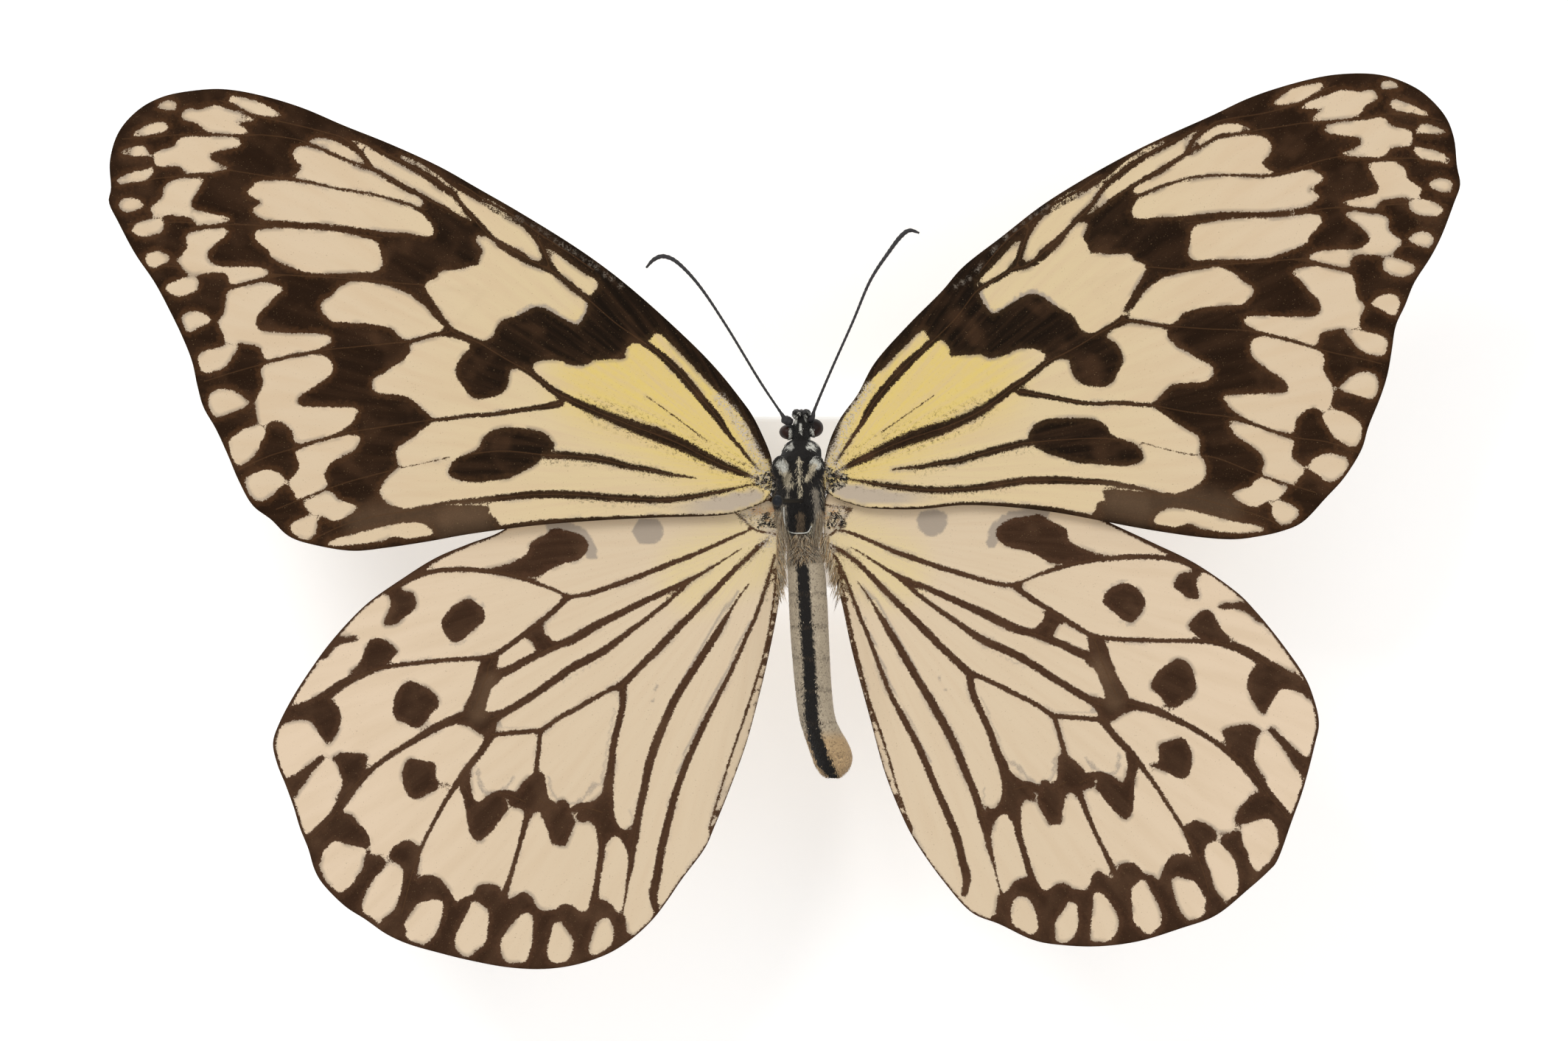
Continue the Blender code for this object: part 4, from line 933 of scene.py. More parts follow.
         180, 3, 3.8, 220, 6, 4, 260, 6, 4, 280, 4, 3.5, 300, 2, 3, 320, 0, 2.6, 340, -2, 2.2, 360, -6, 2.3,
         380, -10, 2.5, 400, -13, 2, 420, -17, 2.1, 440, -23, 2.2, 460, -32, 2.4, 470, -37, 2.5),
        (102, 22, 0.8, 115, 24, 1.5, 130, 26, 2.5, 145, 30, 3, 165, 33, 3.4, 180, 37, 3.8, 200, 41, 4,
         230, 44, 3.9, 245, 44, 3.8),
        (232, 94, 4, 245, 91, 3.3, 260, 89, 2.7, 280, 86, 2.5, 300, 83, 2.3, 320, 82, 2.2, 340, 79, 2.2,
         355, 78, 2.2),
        (430, 67, 2, 445, 64, 1.9, 460, 59, 1.8, 475, 55, 1.8, 490, 50, 1.7),
        (340, 162, 2.2, 353, 160, 2.2, 366, 156, 2.2, 378, 153, 2.2, 390, 152, 2.2),
        (452, 146, 2.2, 465, 144, 2, 480, 141, 1.9, 495, 138, 1.8, 510, 134, 1.6, 520, 131, 1.5),
        (455, 12, 1.2, 470, 6, 1.2, 483, 1, 1.2),
        (91, 58, 0.5, 110, 72, 0.5, 130, 87, 0.5, 150, 101, 0.5),
        (339, 42, 0.4, 360, 37, 0.5, 384, 32, 0.4),
        (204, 193, 3, 212, 200, 2.6, 222, 208, 2.4, 235, 218, 2.4, 242, 222, 2.6, 250, 226, 2, 260, 231, 1.9,
         270, 237, 1.9, 280, 242, 1.9, 290, 248, 1.9, 300, 255, 2, 306, 261, 2.2, 311, 266, 2.3, 319, 276,
         2.2, 325, 283, 2.2, 330, 290, 2.2, 337, 298, 2.2, 343, 302, 2.2, 352, 308, 2.2, 362, 314, 2.2,
         372, 320, 2.2, 382, 325, 2.2, 395, 332, 2.4, 405, 337, 2.6),
        (242, 224, 3, 245, 232, 3.5, 248, 240, 3.5, 251, 247, 3.2, 254, 253, 3),
        (200, 222, 1.8, 220, 236, 1.8, 240, 249, 1.9, 255, 259, 2.2, 270, 270, 1.8, 280, 276, 1.7, 290,
        281.5, 1.7,
         300, 287, 1.7, 310, 293, 1.7, 320, 300, 1.8, 330, 305, 2),
        (340, 280, 2.4, 350, 285, 2.2, 360, 290, 2.1, 370, 296, 2.1, 380, 301, 2.1, 390, 307, 2.1, 400,
        313, 2.1,
         410, 318, 2.2, 416, 321, 2.4),
        (413, 320, 2.3, 419, 328, 2.3, 423, 334, 2.4, 429, 340, 2.6, 436, 346, 2.8, 445, 351, 3),
        (415, 321, 2, 425, 324, 1.5, 435, 327, 1.5, 445, 331, 1.5, 455, 335, 1.6, 465, 340, 1.6, 475, 344,
        1.8,
         483, 347, 1.8),
        (360, 280, 1.8, 370, 282, 1.7, 380, 286, 1.7, 390, 289, 1.6, 400, 291.5, 1.5, 410, 294.5, 1.4,
         420, 296.5, 1.3, 430, 298, 1.3, 440, 299.5, 1.3, 450, 301, 1.3, 460, 303.5, 1.4, 470, 306, 1.5,
         480, 308, 1.7, 490, 310, 1.7, 500, 310.5, 1.8),
        (520, 369, 1.6, 530, 372, 1.6, 540, 377, 1.6, 550, 382, 1.7, 560, 385, 1.7),
        (520, 352, 1.5, 540, 351.5, 1.4, 560, 352, 1.3, 580, 352, 1.4, 600, 352, 1.6),
        (550, 318, 1.6, 565, 315, 1.6, 580, 313.5, 1.5, 600, 312, 1.6, 620, 310, 1.7),
        (543, 266.5, 2, 552, 265.5, 2.2, 562, 264.5, 2.2, 574, 263.5, 2.4, 588, 262, 2.8),
        (498, 217, 2.8, 510, 214.5, 2.3, 521, 212, 2.1, 533, 209, 2.1, 544, 206.5, 2.2, 555, 203.5, 2.4),
    ),
    "veins": (
        (160, 158, 180, 172, 204, 193), (338, 164, 330, 176, 318, 190, 306, 205),
        (390, 152, 420, 149, 452, 146),
        (520, 131, 545, 124, 574, 115), (355, 78, 390, 73, 430, 67), (490, 50, 515, 42, 545, 28),
        (384, 32, 430, 20, 455, 12), (483, 1, 505, -8),
        (403, 253, 460, 259, 525, 265, 560, 266, 600, 268, 648, 266),
        (306, 205, 350, 207, 395, 210, 440, 214, 522, 219, 560, 224, 618, 226),
        (500, 310, 525, 314, 550, 318),
        (620, 310, 640, 306, 660, 302), (483, 347, 500, 350, 520, 352), (600, 352, 625, 350, 652, 348),
        (445, 351, 480, 360, 520, 369), (245, 44, 290, 48, 339, 42),
    ),
    "ghosts": (
        (0.8, 2.0, 5.0, (206, 189, 210, 177, 214, 171, 222, 171, 232, 177, 242, 184, 252, 188, 262, 186,
        272, 180)),
    ),
    # A lilac-grey strip by the root along the inner edge: painted shade where the forewing lies over the
    # hindwing, fading out between the two distances on the next line.
    "lilacTintAndOverlapShade": ((36, 4, 42, 11, 60, 9, 80, 5, 105, 0, 130, -2, 160, -4, 150, -10, 110, -12, 80, -11, 60, -8,
        45, -3),),
    "lilacTintAndOverlapShadeFade": (8.5, 14.5),
    "dusts": (
        (1.0, 3.0, 6.5, (36, 33, 43, 44, 50, 56, 57, 69, 67, 84, 80, 99)),
        (0.9, 5.0, 12.0, (30, 24, 40, 26)),
        (0.35, 0.2, 1.4, (170, 204, 200, 226, 225, 243, 245, 256, 262, 266, 275, 274)),
    ),
    "soots": (
        (0.5, 2.0, 9.0, (60, 38, 110, 62, 160, 84, 210, 98)),
        (0.8, 3.0, 8.0, (36, 34, 50, 56, 62, 76, 80, 100)),
        (1.0, 9.0, 16.0, (22, 34, 24, 22, 27, 12)),
        (0.8, 6.0, 14.0, (40, 25, 70, 33, 110, 50, 160, 70, 200, 86)),
        (0.6, 3.0, 9.0, (45, 14, 100, 4, 150, 0, 220, 4)),
        (0.6, 4.0, 9.0, (125, 23, 170, 34, 200, 40, 250, 40)),
    ),
    "rusts": (),
    "fades": ((0.6, 0.0, 30.0, (312, -12, 328, -14, 340, -16)),
        (0.4, 0.0, 26.0, (345, -14, 380, -14, 425, -20))),
    "warm": (8.5, (55, 50, 90, 72, 130, 98, 180, 124)),
    "pairs": (
        40, 20, 32, 27, 337, 163, 310, 175, 344, 168, 313, 179, 462, 185, 434, 200, 419, 211, 388, 224,
        379, 155, 353, 170, 403, 227, 372, 237, 526, 254, 500, 270, 409, 249, 377, 263, 511, 238, 487, 252,
        355, 262, 318, 278, 525, 305, 493, 317, 519, 287, 487, 299, 364, 286, 319, 297, 480, 341, 440, 351,
        480, 322, 442, 326, 312, 253, 273, 267, 311, 227, 278, 238, 361, 206, 330, 223, 214, 172, 182, 183,
        206, 187, 171, 200, 252, 187, 223, 200, 294, 165, 266, 170, 307, 121, 283, 132, 238, 52, 218, 63,
        280, 71, 265, 80, 340, 26, 329, 40, 306, 18, 295, 34, 354, 78, 337, 92, 232, 94, 210, 105,
        413, 112, 396, 124, 396, 103, 375, 114, 405, 11, 389, 29, 388, 35, 382, 47, 485, 98, 468, 112,
        451, 133, 431, 150, 428, 89, 407, 101, 433, 75, 415, 87, 487, 57, 473, 67, 525, 95, 511, 108,
        196, 208, 169, 209, 243, 241, 209, 249, 250, 233, 213, 233, 385, 332, 348, 346, 318, 270, 275, 276,
        436, 347, 388, 358, 448, 337, 397, 354, 562, 366, 522, 381, 526, 380, 475, 392, 585, 335, 554, 351,
        598, 290, 565, 306, 575, 238, 549, 255, 499, 203, 472, 219, 553, 196, 531, 212, 453, 154, 426, 172,
        524, 172, 498, 186, 610, 380, 565, 400, 625, 358, 580, 379, 640, 337, 605, 358, 640, 312, 605, 333,
        645, 284, 616, 303, 628, 263, 600, 282, 619, 232, 596, 251, 595, 207, 574, 226, 582, 172, 562, 188,
        563, 137, 547, 152, 551, 95, 536, 112, 536, 52, 521, 70, 517, 15, 509, 32, 479, -26, 464, -11,
        425, 62, 411, 76, 458, 26, 444, 38, 485, 2, 474, 16, 428, -6, 414, 7, 354, -31, 338, -20,
        455, -41, 444, -27, 378, -21, 357, -7, 120, 2, 106, 12, 220, 6, 210, 19, 300, 2, 290, 18,
        360, -6, 346, 6, 120, 56, 104, 60, 200, 87, 176, 89, 245, 44, 219, 56, 90, 91, 74, 101,
        140, 144, 116, 145, 146, 189, 126, 193, 220, 246, 186, 250, 310, 300, 270, 309, 395, 343, 350, 351,
        480, 378, 432, 388, 556, 396, 506, 409, 616, 389, 572, 406, 657, 354, 619, 370, 665, 327, 629, 346,
        666, 287, 633, 305, 641, 238, 616, 257, 607, 182, 585, 199, 581, 111, 564, 128, 552, 45, 542, 62,
        528, -4, 516, 16, 493, -34, 480, -21, 433, -48, 418, -37, 359, -39, 346, -30, 260, -24, 250, -12,
        139, -16, 130, -6, 56, -9, 46, -2),
}
rightForewingMargin = (
    21, 33, 27, 58, 38, 81, 54, 103, 71, 134, 103, 170, 134, 201, 156, 226, 192, 254, 232, 285, 277, 313,
    321, 337, 357, 354, 393, 370, 429, 387, 464, 399, 500, 408, 528, 411, 554, 410, 576, 404, 598, 392,
    618, 371, 627, 349, 630, 322, 633, 304, 627, 286, 616, 257, 605, 235, 589, 210, 580, 188, 571, 168,
    567, 143, 563, 121, 556, 99, 545, 72, 538, 49, 522, 23, 504, 3, 482, -20, 462, -29, 440, -34, 415, -37,
    384, -35, 348, -30, 313, -24, 250, -12, 201, -6, 156, -4, 112, -8, 67, -7, 45, -2, 29, 5, 21, 14)

# The left hindwing, in the same way.
hindwing = {
    "margin": (
        28, 3, 45, 12, 80, 21, 130, 24, 180, 18, 230, 3, 265, -14, 293, -31, 320, -41, 353, -55, 385, -75,
        415, -96, 436, -116, 456, -139, 474, -164, 490, -189, 503, -214, 509, -233, 505, -253, 497, -273,
        489, -295, 483, -315, 475, -335, 469, -355, 460, -370, 440, -390, 420, -403, 400, -417, 378, -427,
        350, -435, 322, -442, 285, -449, 250, -451, 218, -447, 188, -437, 165, -423, 145, -405, 130, -386,
        115, -364, 94, -336, 84, -314, 69, -277, 54, -236, 44, -200, 36, -168, 29, -136, 23, -104, 20, -76,
        20, -56, 20, -40),
    "border": ((0, 1.0), (0.178, 1.5), (0.248, 5.0), (0.27, 2.2), (0.29, 2.0), (0.37, 3.0), (0.5, 2.5),
               (0.675, 2.5), (0.71, 1.8), (0.768, 1.4), (0.82, 0.8), (1, 0.6)),
    "dark": ((
        172, -396, 176, -397, 180, -393, 184, -388, 189, -385, 196, -383, 204, -387, 206, -392, 210, -396,
        215, -394, 220, -390, 228, -388, 233, -390, 237, -393, 250, -394, 256, -389, 259, -382, 264, -378,
        269, -376, 274, -379, 282, -383, 288, -379, 290, -373, 294, -370, 300, -369, 308, -369, 313, -372,
        316, -377, 320, -380, 327, -382, 332, -386, 336, -380, 340, -373, 345, -367, 350, -362, 356, -360,
        364, -360, 370, -363, 370, -353, 367, -342, 366, -334, 372, -330, 379, -326, 387, -329, 394, -334,
        398, -340, 397, -346, 401, -347, 403, -340, 408, -341, 413, -340, 415, -338, 415, -329, 417, -322,
        422, -314, 429, -308, 433, -302, 445, -300, 456, -305, 461, -313, 468, -318, 476, -322, 481, -320,
        495, -325, 480, -370, 440, -410, 380, -445, 280, -465, 200, -460, 165, -435, 164, -419, 168, -416,
        169, -407, 170, -400),),
    "pale": (
        (419, -336, 423, -334, 429, -333, 440, -330, 447, -328, 452, -329, 456, -333, 460, -337, 463, -348,
         464, -353, 461, -359, 459, -365, 454, -370, 450, -373, 445, -377, 442, -376, 438, -373, 433, -369,
         428, -360, 424, -356, 422, -350, 421, -343),
        (384, -356, 386, -352, 391, -349, 396, -348, 400, -350, 405, -357, 411, -363, 417, -373, 422, -384,
         423, -392, 421, -397, 417, -399, 412, -402, 407, -407, 403, -402, 394, -396, 391, -391, 388, -385,
         386, -378, 384, -364),
        (346, -386, 353, -384, 359, -385, 369, -388, 376, -397, 382, -406, 382, -410, 380, -413, 381, -419,
         377, -423, 365, -427, 360, -425, 354, -418, 349, -408, 346, -395),
        (302, -395, 307, -390, 312, -387, 317, -386, 321, -395, 327, -406, 333, -420, 333, -431, 329, -435,
         324, -439, 317, -437, 314, -433, 307, -428, 304, -423, 303, -416, 302, -406),
        (260, -398, 264, -397, 270, -399, 278, -407, 285, -416, 289, -423, 290, -430, 288, -439, 284, -444,
         280, -445, 267, -444, 264, -440, 260, -425, 259, -406),
        (231, -406, 235, -406, 239, -408, 242, -420, 245, -433, 244, -440, 240, -444, 234, -445, 228, -444,
         224, -440, 220, -428, 221, -421, 227, -413),
        (184, -405, 188, -402, 193, -403, 197, -407, 200, -413, 204, -426, 205, -433, 203, -437, 198, -437,
         188, -431, 184, -428, 181, -416),
    ),
    "blobs": (
        (286, -202, 305, -203, 315, -201, 326, -203, 335, -209, 330, -215, 320, -218, 308, -226, 300, -226,
         296, -223, 293, -215),
        (205, -43, 209, -35, 218, -30, 229, -28, 239, -26, 247, -32, 257, -37, 262, -42, 264, -50, 271, -55,
         282, -60, 296, -64, 305, -66, 285, -71, 268, -74, 254, -73, 242, -66, 230, -61, 218, -58, 209, -52),
        (305, -110, 307, -103, 313, -98, 320, -94, 328, -96, 336, -101, 342, -108, 347, -116, 346, -124,
         341, -132, 334, -137, 327, -134, 320, -128, 312, -121, 306, -116),
        (372, -92, 376, -87, 383, -87, 388, -81, 399, -86, 397, -93, 396, -101, 399, -108, 403, -119,
         396, -120, 389, -118, 382, -112, 375, -107, 371, -102),
        (425, -132, 430, -129, 440, -130, 449, -130, 457, -140, 464, -153, 458, -152, 449, -142, 440, -137,
         430, -136),
        (389, -144, 395, -138, 402, -133, 410, -132, 417, -135, 421, -143, 424, -152, 429, -160, 436, -165,
         425, -168, 410, -163, 400, -158, 393, -151),
        (349, -193, 352, -187, 360, -180, 370, -175, 376, -173, 384, -176, 390, -184, 393, -194, 394, -203,
         390, -211, 382, -214, 373, -219, 364, -216, 360, -210, 356, -204, 350, -199),
        (443, -208, 445, -200, 450, -193, 456, -188, 463, -186, 475, -191, 486, -196, 493, -198, 506, -216,
         501, -217, 496, -214, 490, -212, 482, -211, 474, -212, 470, -216, 466, -222, 461, -229, 456, -235,
         451, -230, 447, -223, 444, -216),
        (417, -246, 423, -243, 434, -242, 443, -242, 449, -245, 453, -248, 448, -253, 445, -261, 442, -270,
         444, -278, 449, -288, 438, -286, 430, -275, 424, -268, 419, -262, 419, -253),
        (458, -247, 463, -244, 469, -249, 478, -256, 488, -263, 494, -266, 499, -270, 490, -285, 486, -284,
         484, -279, 479, -273, 473, -264, 467, -257, 460, -250),
        (182, -274, 190, -279, 196, -285, 203, -290, 209, -294, 214, -299, 219, -304, 213, -310, 205, -309,
         200, -313, 198, -319, 197, -326, 188, -331, 183, -324, 177, -324, 172, -330, 169, -337, 165, -342,
         164, -315, 170, -317, 175, -314, 179, -306, 181, -293),
        (352, -260, 353, -252, 360, -251, 369, -249, 378, -248, 382, -253, 385, -262, 384, -271, 382, -278,
         377, -286, 369, -287, 361, -283, 353, -279, 346, -276, 341, -274, 343, -271, 350, -271),
        (223, -296, 225, -290, 230, -287, 235, -289, 239, -294, 243, -293, 249, -302, 248, -310, 245, -317,
         243, -325, 240, -331, 233, -332, 227, -332, 224, -325, 220, -316, 218, -308, 221, -302),
        (248, -263, 253, -260, 259, -262, 266, -268, 271, -274, 276, -282, 283, -289, 280, -295, 273, -296,
         268, -299, 262, -306, 258, -301, 252, -300, 250, -307, 246, -300, 243, -293, 244, -283, 246, -273),
        (284, -289, 286, -283, 292, -280, 299, -281, 306, -286, 311, -290, 316, -285, 318, -277, 319, -269,
         318, -260, 324, -260, 330, -270, 329, -279, 326, -287, 324, -298, 322, -309, 320, -319, 316, -325,
         310, -328, 304, -324, 298, -318, 292, -310, 287, -303, 282, -296),
        (250, -118, 262, -124, 270, -131, 262, -134, 258, -140, 256, -147, 262, -151, 250, -150, 236, -140,
         241, -133, 247, -127),
    ),
    "strokes": (
        (50, -28, 1.3, 60, -32, 1.6, 80, -41, 2, 100, -50, 2.3, 120, -58, 2.7, 140, -66, 2.7, 160, -74, 2.7,
         180, -81, 2.6, 200, -88, 2.5, 220, -92, 2.2, 229, -90, 2.2),
        (229, -90, 1.5, 240, -85, 1.7, 250, -81, 2, 270, -74, 2.5, 285, -70, 2.8, 300, -68, 2.7, 320, -66,
        2.7,
         340, -66, 2.6, 360, -69, 2.5, 375, -74, 3, 388, -81, 3.5, 398, -87, 3.5),
        (224, -92, 3, 240, -107, 3, 260, -123, 2.9, 280, -138, 2.8, 290, -145, 2.8, 300, -150, 2.6,
         320, -152, 2.5, 340, -153, 2.5, 360, -155, 2.3, 380, -157, 2.2, 395, -159, 2.5, 410, -162, 2.8,
         425, -168, 3.6, 440, -175, 4.5, 452, -183, 5, 465, -192, 5),
        (58, -46, 0.5, 80, -60, 1.2, 100, -72, 2, 120, -82, 2.8, 150, -96, 3.2, 180, -111, 3.8, 200, -121,
        4.5,
         220, -133, 4.5, 240, -141, 4, 260, -151, 4, 270, -156, 4.2, 280, -162, 4.3, 290, -166, 5, 297,
         -172, 6),
        (298, -152, 6, 302, -160, 9, 303, -168, 10, 307, -178, 9, 311, -190, 9, 315, -200, 10.5),
        (106, -77, 0.8, 110, -80, 1.5, 130, -98, 2.2, 150, -114, 2.5, 170, -129, 3, 190, -144, 4, 220,
        -160, 4.2,
         240, -174, 4, 260, -188, 3.7, 290, -206, 4, 300, -210, 5),
        (325, -207, 5, 350, -217, 4.2, 370, -229, 3.5, 390, -241, 3, 410, -255, 2.7, 430, -273, 5,
         438, -283, 5.5, 445, -294, 5.2, 453, -306, 5, 473, -325, 5),
        (298, -224, 4.5, 310, -243, 3.5, 324, -260, 3.5, 336, -278, 2.7, 348, -298, 2.2, 359, -319, 2,
         367, -335, 2.2, 370, -343, 3, 376, -362, 5.5, 379, -374, 6.5, 385, -397, 6.5),
        (249, -221, 2.5, 275, -223, 2.5, 298, -225, 2.5),
        (33, -38, 1.5, 40, -43, 2.5, 60, -62, 2.5, 80, -82, 3, 100, -103, 3.2, 120, -123, 3.8, 140, -144, 3.8,
         160, -164, 3.6, 174, -178, 4, 183, -181, 2.5, 205, -193, 2.6, 215, -199, 2.7, 235, -210, 2.6,
         250, -221, 2.5),
        (172, -180, 3.8, 173, -200, 3.5, 178, -220, 3.4, 182, -240, 3.5, 184, -260, 4, 186, -270, 5, 187,
        -280, 5),
        (193, -325, 4, 193, -340, 3.5, 196, -360, 3, 199, -380, 3.5, 201, -387, 3.5),
        (252, -225, 2.5, 254, -245, 2.5, 256, -263, 3),
        (264, -302, 3.5, 270, -325, 2.5, 277, -350, 2.2, 284, -372, 3, 287, -380, 3.5),
        (51, -80, 0.8, 64, -98, 1.2, 70, -108, 2, 82, -128, 3.5, 100, -156, 3.8, 119, -186, 4, 133, -215, 4.2,
         145, -247, 4.2, 151, -273, 4, 154, -287, 3.8, 159, -312, 4, 161, -323, 5, 163, -333, 4,
         165, -353, 3, 167, -363, 2, 170, -383, 1.2, 174, -402, 1),
        (26, -52, 1.4, 32, -75, 2, 44, -110, 2.1, 53, -130, 2.1, 62, -151, 2.2, 72, -172, 2.3, 82, -191, 2.5,
         96, -219, 3.2, 110, -250, 3.5, 121, -280, 3.5, 129, -310, 3.8, 136, -340, 4, 139, -360, 4.2,
         143, -378, 4.5, 142, -387, 3.5, 141, -393, 3.5),
        (33, 1, 1, 45, -4, 1, 56, -7, 1, 66, -10, 0.8), (64, -11, 1, 56, -18, 1, 50, -24, 1.1, 44, -28, 1.1,
         33, -31, 1, 24, -32, 1),
        (24, -66, 1.0, 27, -96, 1.1, 34, -138, 1.2, 44, -174, 1.3, 54, -205, 1.3, 68, -246, 1.2, 80, -285, 1,
         90, -318, 0.8),
        (291, -281, 2.4, 282, -283, 4.5, 266, -290, 7), (252, -289, 7, 236, -297, 5),
        (223, -298, 2.4, 210, -295, 5, 192, -300, 6),
    ),
    "veins": (),
    "ghosts": (
        (0.95, 12.0, 14.5, (146, -29, 148, -29, 150, -29)),
        (0.95, 4.5, 7.0, (202, -52, 206, -38, 216, -29, 229, -26, 242, -25)),
        (0.8, 1.4, 3.4, (62, -88, 81, -115, 95, -138, 111, -168, 126, -196, 137, -222)),
        (0.8, 1.2, 3.0, (50, -115, 61, -140, 70, -158, 80, -178, 91, -200, 104, -225, 120, -262)),
        (0.8, 1.5, 3.0, (140, -178, 141, -182)), (0.8, 1.8, 3.2, (143, -191, 145, -193)),
        (0.6, 1.5, 3.5, (180, -200, 186, -230, 190, -255, 194, -275)),
        (0.7, 2.0, 4.0, (244, -266, 240, -282, 227, -292, 212, -288, 199, -272)),
        (0.7, 2.0, 4.0, (312, -260, 309, -275, 302, -282, 287, -278, 277, -266)),
        (0.6, 1.5, 3.5, (165, -297, 162, -316)), (0.6, 1.0, 2.6, (255, -217, 275, -217, 290, -217)),
        (0.6, 1.0, 2.6, (189, -151, 200, -157, 215, -166, 230, -174)),
        (0.8, 2.0, 4.0, (290, -214, 294, -216)),
        (0.6, 1.5, 3.2, (305, -103, 313, -95, 322, -92)), (0.6, 1.5, 3.2, (322, -134, 333, -139, 338, -138)),
    ),
    "lilacTintAndOverlapShade": ((64, -9, 50, -25, 36, -31, 24, -31, 24, -27, 36, -25, 46, -20, 56, -9),),
    "lilacTintAndOverlapShadeFade": (3.0, 5.0),
    "dusts": ((0.8, 5.0, 9.0, (26, -34, 34, -40)), (0.8, 6.0, 12.0, (30, -20, 40, -16, 50, -12))),
    "soots": (
        (1.0, 8.0, 12.0, (28, -14, 40, -14, 54, -12)),
        (0.7, 3.0, 8.0, (28, -34, 45, -48, 60, -62)),
        (0.6, 3.0, 7.0, (24, -50, 28, -70, 36, -92)),
        (0.8, 3.0, 8.0, (20, -40, 22, -28, 22, -10)),
    ),
    "rusts": ((0.9, 2.5, 7.0, (23, -8, 30, -12)), (0.8, 1.5, 5.0, (40, -10, 46, -9))),
    "fades": ((0.45, 0.0, 16.0, (300, -175, 312, -205)),),
    "warm": (5.5, (45, -45, 70, -55, 100, -70)),
    "pairs": (
        35, -39, 27, -43, 50, -28, 37, -28, 229, -90, 210, -79, 298, -152, 281, -133, 319, -203, 308, -191,
        298, -224, 289, -210, 172, -176, 161, -165, 250, -221, 242, -207, 325, -116, 309, -98,
        372, -195, 359, -175, 368, -269, 360, -249, 385, -102, 370, -79, 407, -146, 389, -120,
        456, -235, 445, -206, 417, -246, 404, -222, 443, -296, 442, -277, 382, -337, 383, -318,
        442, -353, 442, -328, 404, -376, 408, -356, 363, -405, 373, -382, 318, -412, 333, -391,
        274, -421, 292, -401, 233, -425, 258, -406, 192, -420, 214, -399, 188, -300, 201, -278,
        232, -310, 238, -291, 310, -326, 311, -305, 264, -302, 268, -283, 232, -47, 218, -33,
        162, -323, 175, -304, 100, -156, 98, -148, 133, -215, 132, -206, 26, -56, 32, -55, 83, -194, 86, -188,
        124, -289, 130, -277, 141, -390, 157, -375, 100, -103, 93, -99, 106, -77, 91, -73, 252, -130, 238,
        -117, 293, -30, 297, -20, 385, -75, 380, -60, 425, -132, 401, -102, 464, -153, 446, -117, 509,
        -233, 498, -212, 475, -335, 469, -316, 440, -390, 432, -373, 378, -427, 385, -404, 250, -450, 262,
        -430, 145, -405, 161, -391, 94, -336, 112, -332, 69, -277, 86, -278, 54, -236, 71, -230, 36, -168,
        54, -166, 23, -104, 40, -104),
}
rightHindwingMargin = (
    24, 6, 45, 17, 80, 29, 125, 34, 170, 30, 220, 16, 260, -3, 297, -21, 338, -40, 379, -60, 418, -87,
    437, -106, 453, -125, 469, -146, 482, -165, 491, -184, 498, -212, 494, -235, 483, -277, 472, -308,
    459, -344, 450, -356, 430, -374, 399, -399, 364, -412, 325, -424, 287, -429, 252, -428, 223, -423,
    191, -408, 163, -396, 137, -367, 112, -332, 97, -304, 80, -261, 65, -206, 53, -162, 46, -133, 40, -104,
    33, -76, 28, -56, 22, -40)

wingBuild = {
    "grid": 0.42, "rowShare": 0.866, "edgeStep": 0.4, "inset": 0.15, "clear": 0.2, "slack": 0.02,
    "thickness": 0.12, "veinRise": 0.07, "veinReach": 0.35, "underRise": 1.5, "pleat": 0.05,
    "pleatReach": 2.0, "root": 2.5, "rise": 0.052, "camber": 0.00048, "bulkGap": 0.2,
    "fold": {"depth": 1.1, "reach": 3.2, "front": -3.5, "growth": 4.0, "back": -36.0, "fade": 14.0,
             "edgePoints": 140},
}


def tenths(numbers, width):
    return np.array(numbers, float).reshape(-1, width) / 10


def keepInside(line, margin):
    # runs of the line that lie inside the margin, clear of it
    held = shapeDistance(line[:, :2], margin) < -wingBuild["inset"]
    runs, run = [], []
    for point, good in zip(line, held):
        if good:
            run.append(point)
        elif run:
            runs.append(run)
            run = []
    if run:
        runs.append(run)
    return [np.array(r) for r in runs if len(r) > 1]


def wingMesh(margin, lines):
    # triangles inside the margin, with edges along the drawn lines
    corners = [tuple(p) for p in margin]
    edges = [(k, (k + 1) % len(corners)) for k in range(len(corners))]
    for line in lines:
        for run in keepInside(line, margin):
            first = len(corners)
            corners.extend(tuple(p[:2]) for p in run)
            edges.extend((first + k, first + k + 1) for k in range(len(run) - 1))
    tree = kdtree.KDTree(len(corners))
    for k, corner in enumerate(corners):
        tree.insert((*corner, 0), k)
    tree.balance()
    low, high = margin.min(0), margin.max(0)
    step = wingBuild["grid"]
    grid = []
    for k, y in enumerate(np.arange(low[1], high[1], step * wingBuild["rowShare"])):
        across = np.arange(low[0] + step * 0.5 * (k % 2), high[0], step)
        grid.append(np.column_stack([across, np.full(len(across), y)]))
    grid = np.vstack(grid)
    for point in grid[inside(grid, margin)]:
        if tree.find((*point, 0))[2] > wingBuild["clear"]:
            corners.append(tuple(point))
    border = list(range(len(margin)))
    made = geometry.delaunay_2d_cdt([Vector(c) for c in corners], edges, [border], 1, 1e-4, False)
    spots = np.array([v[:] for v in made[0]])
    faces = np.array(made[2])
    return spots, faces[inside(spots[faces].mean(1), margin)]


